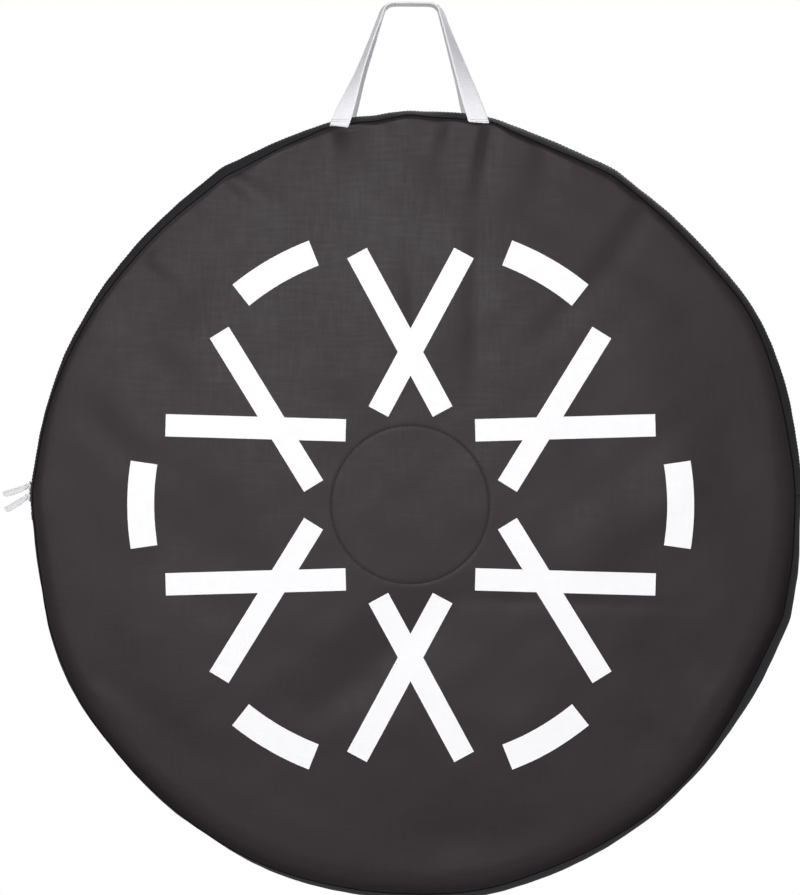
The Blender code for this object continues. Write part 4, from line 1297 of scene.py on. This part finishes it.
WHITE = linear("#FFFFFF")
AMBIENT = 0.13
FLOOR_HEIGHT = -1.25
FLOOR_REACH = 14.0
# The paper turns white between these distances from the hub, from this share to the whole
FLOOR_FADE = (0.7, 1.4, 0.45, 1.0)


def seen(tree, *rays):
    """1 for a light path of one of these kinds, or 0."""
    paths = put(tree, "ShaderNodeLightPath").outputs
    found = 0.0
    for ray in rays:
        found = put(tree, "ShaderNodeMath", (found, paths[f"Is {ray} Ray"]), operation="MAXIMUM")
    return found


def floor_material():
    """Plain pale paper: white to the camera further out, with the object's shadow in the middle."""
    made, tree = cleared(bpy.data.materials.new("studio_paper"))
    place = put(tree, "ShaderNodeTexCoord").outputs["Object"]
    level = put(tree, "ShaderNodeVectorMath", (place, (1.0, 1.0, 0.0)), operation="MULTIPLY")
    reach = put(tree, "ShaderNodeVectorMath", (level,), operation="LENGTH").outputs["Value"]
    fade = put(tree, "ShaderNodeMapRange", (reach, *FLOOR_FADE), interpolation_type="SMOOTHSTEP")
    far = (seen(tree, "Camera", "Transmission", "Glossy"), fade)
    share = put(tree, "ShaderNodeMath", far, operation="MULTIPLY")
    paper = put(tree, "ShaderNodeBsdfDiffuse", {"Color": linear("#EDEDEE")})
    white = put(tree, "ShaderNodeEmission", {"Color": WHITE, "Strength": 1.0})
    mix = put(tree, "ShaderNodeMixShader", (share, paper, white))
    put(tree, "ShaderNodeOutputMaterial", {"Surface": mix})
    return made


def floor_sheet():
    """The studio's floor, well below the hanging bag."""
    mesh = bpy.data.meshes.new("studio_floor")
    ways = ((-1, -1), (1, -1), (1, 1), (-1, 1))
    corners = [(x * FLOOR_REACH, y * FLOOR_REACH, FLOOR_HEIGHT) for x, y in ways]
    mesh.from_pydata(corners, [], [(0, 1, 2, 3)])
    mesh.materials.append(floor_material())
    placed("studio_floor", mesh)


def world():
    """An even pale surround: faint as a light, and plain white to the camera."""
    bpy.context.scene.world, tree = cleared(bpy.data.worlds.new("studio"))
    light = put(tree, "ShaderNodeBackground", {"Color": WHITE, "Strength": AMBIENT})
    white = put(tree, "ShaderNodeBackground", {"Color": WHITE, "Strength": 1.0})
    mix = put(tree, "ShaderNodeMixShader", (seen(tree, "Camera", "Transmission"), light, white))
    put(tree, "ShaderNodeOutputWorld", {"Surface": mix})


def lamp(name, place, target, size, watts):
    """A soft round lamp that looks at a point."""
    light = bpy.data.lights.new(name, "AREA")
    light.shape = "DISK"
    light.size = size
    light.energy = watts
    made = placed(name, light)
    made.location = place
    made.rotation_euler = (Vector(target) - Vector(place)).to_track_quat("-Z", "Y").to_euler()


world()
floor_sheet()
HUB = (0.0, 0.0, HUB_HEIGHT)
lamp("key", (-0.32, -3.4, 0.36), HUB, 2.2, 78.0)
lamp("left_fill", (-1.7, -0.5, 1.8), (0.0, 0.0, -0.2), 1.6, 11.0)
lamp("right_fill", (2.3, -0.5, 0.3), (0.0, 0.0, -0.2), 1.6, 2.0)
lamp("left_handle_light", (-1.2, -1.3, 0.15), (0.0, 0.0, -0.05), 0.5, 3.0)
lamp("right_handle_light", (1.2, -1.3, 0.15), (0.0, 0.0, -0.05), 0.5, 3.0)
lamp("back_fill", (0.6, 2.6, 0.9), HUB, 1.8, 64.0)

camera = bpy.data.cameras.new("camera")
camera.lens = 102.3
camera.sensor_width = 36.0
camera.sensor_fit = "AUTO"
scene = bpy.context.scene
scene.camera = placed("camera", camera)
scene.camera.location = (-0.0151, -2.5, -0.4328)
scene.camera.rotation_euler = (math.pi / 2, 0, 0)
scene.view_settings.view_transform = "Standard"
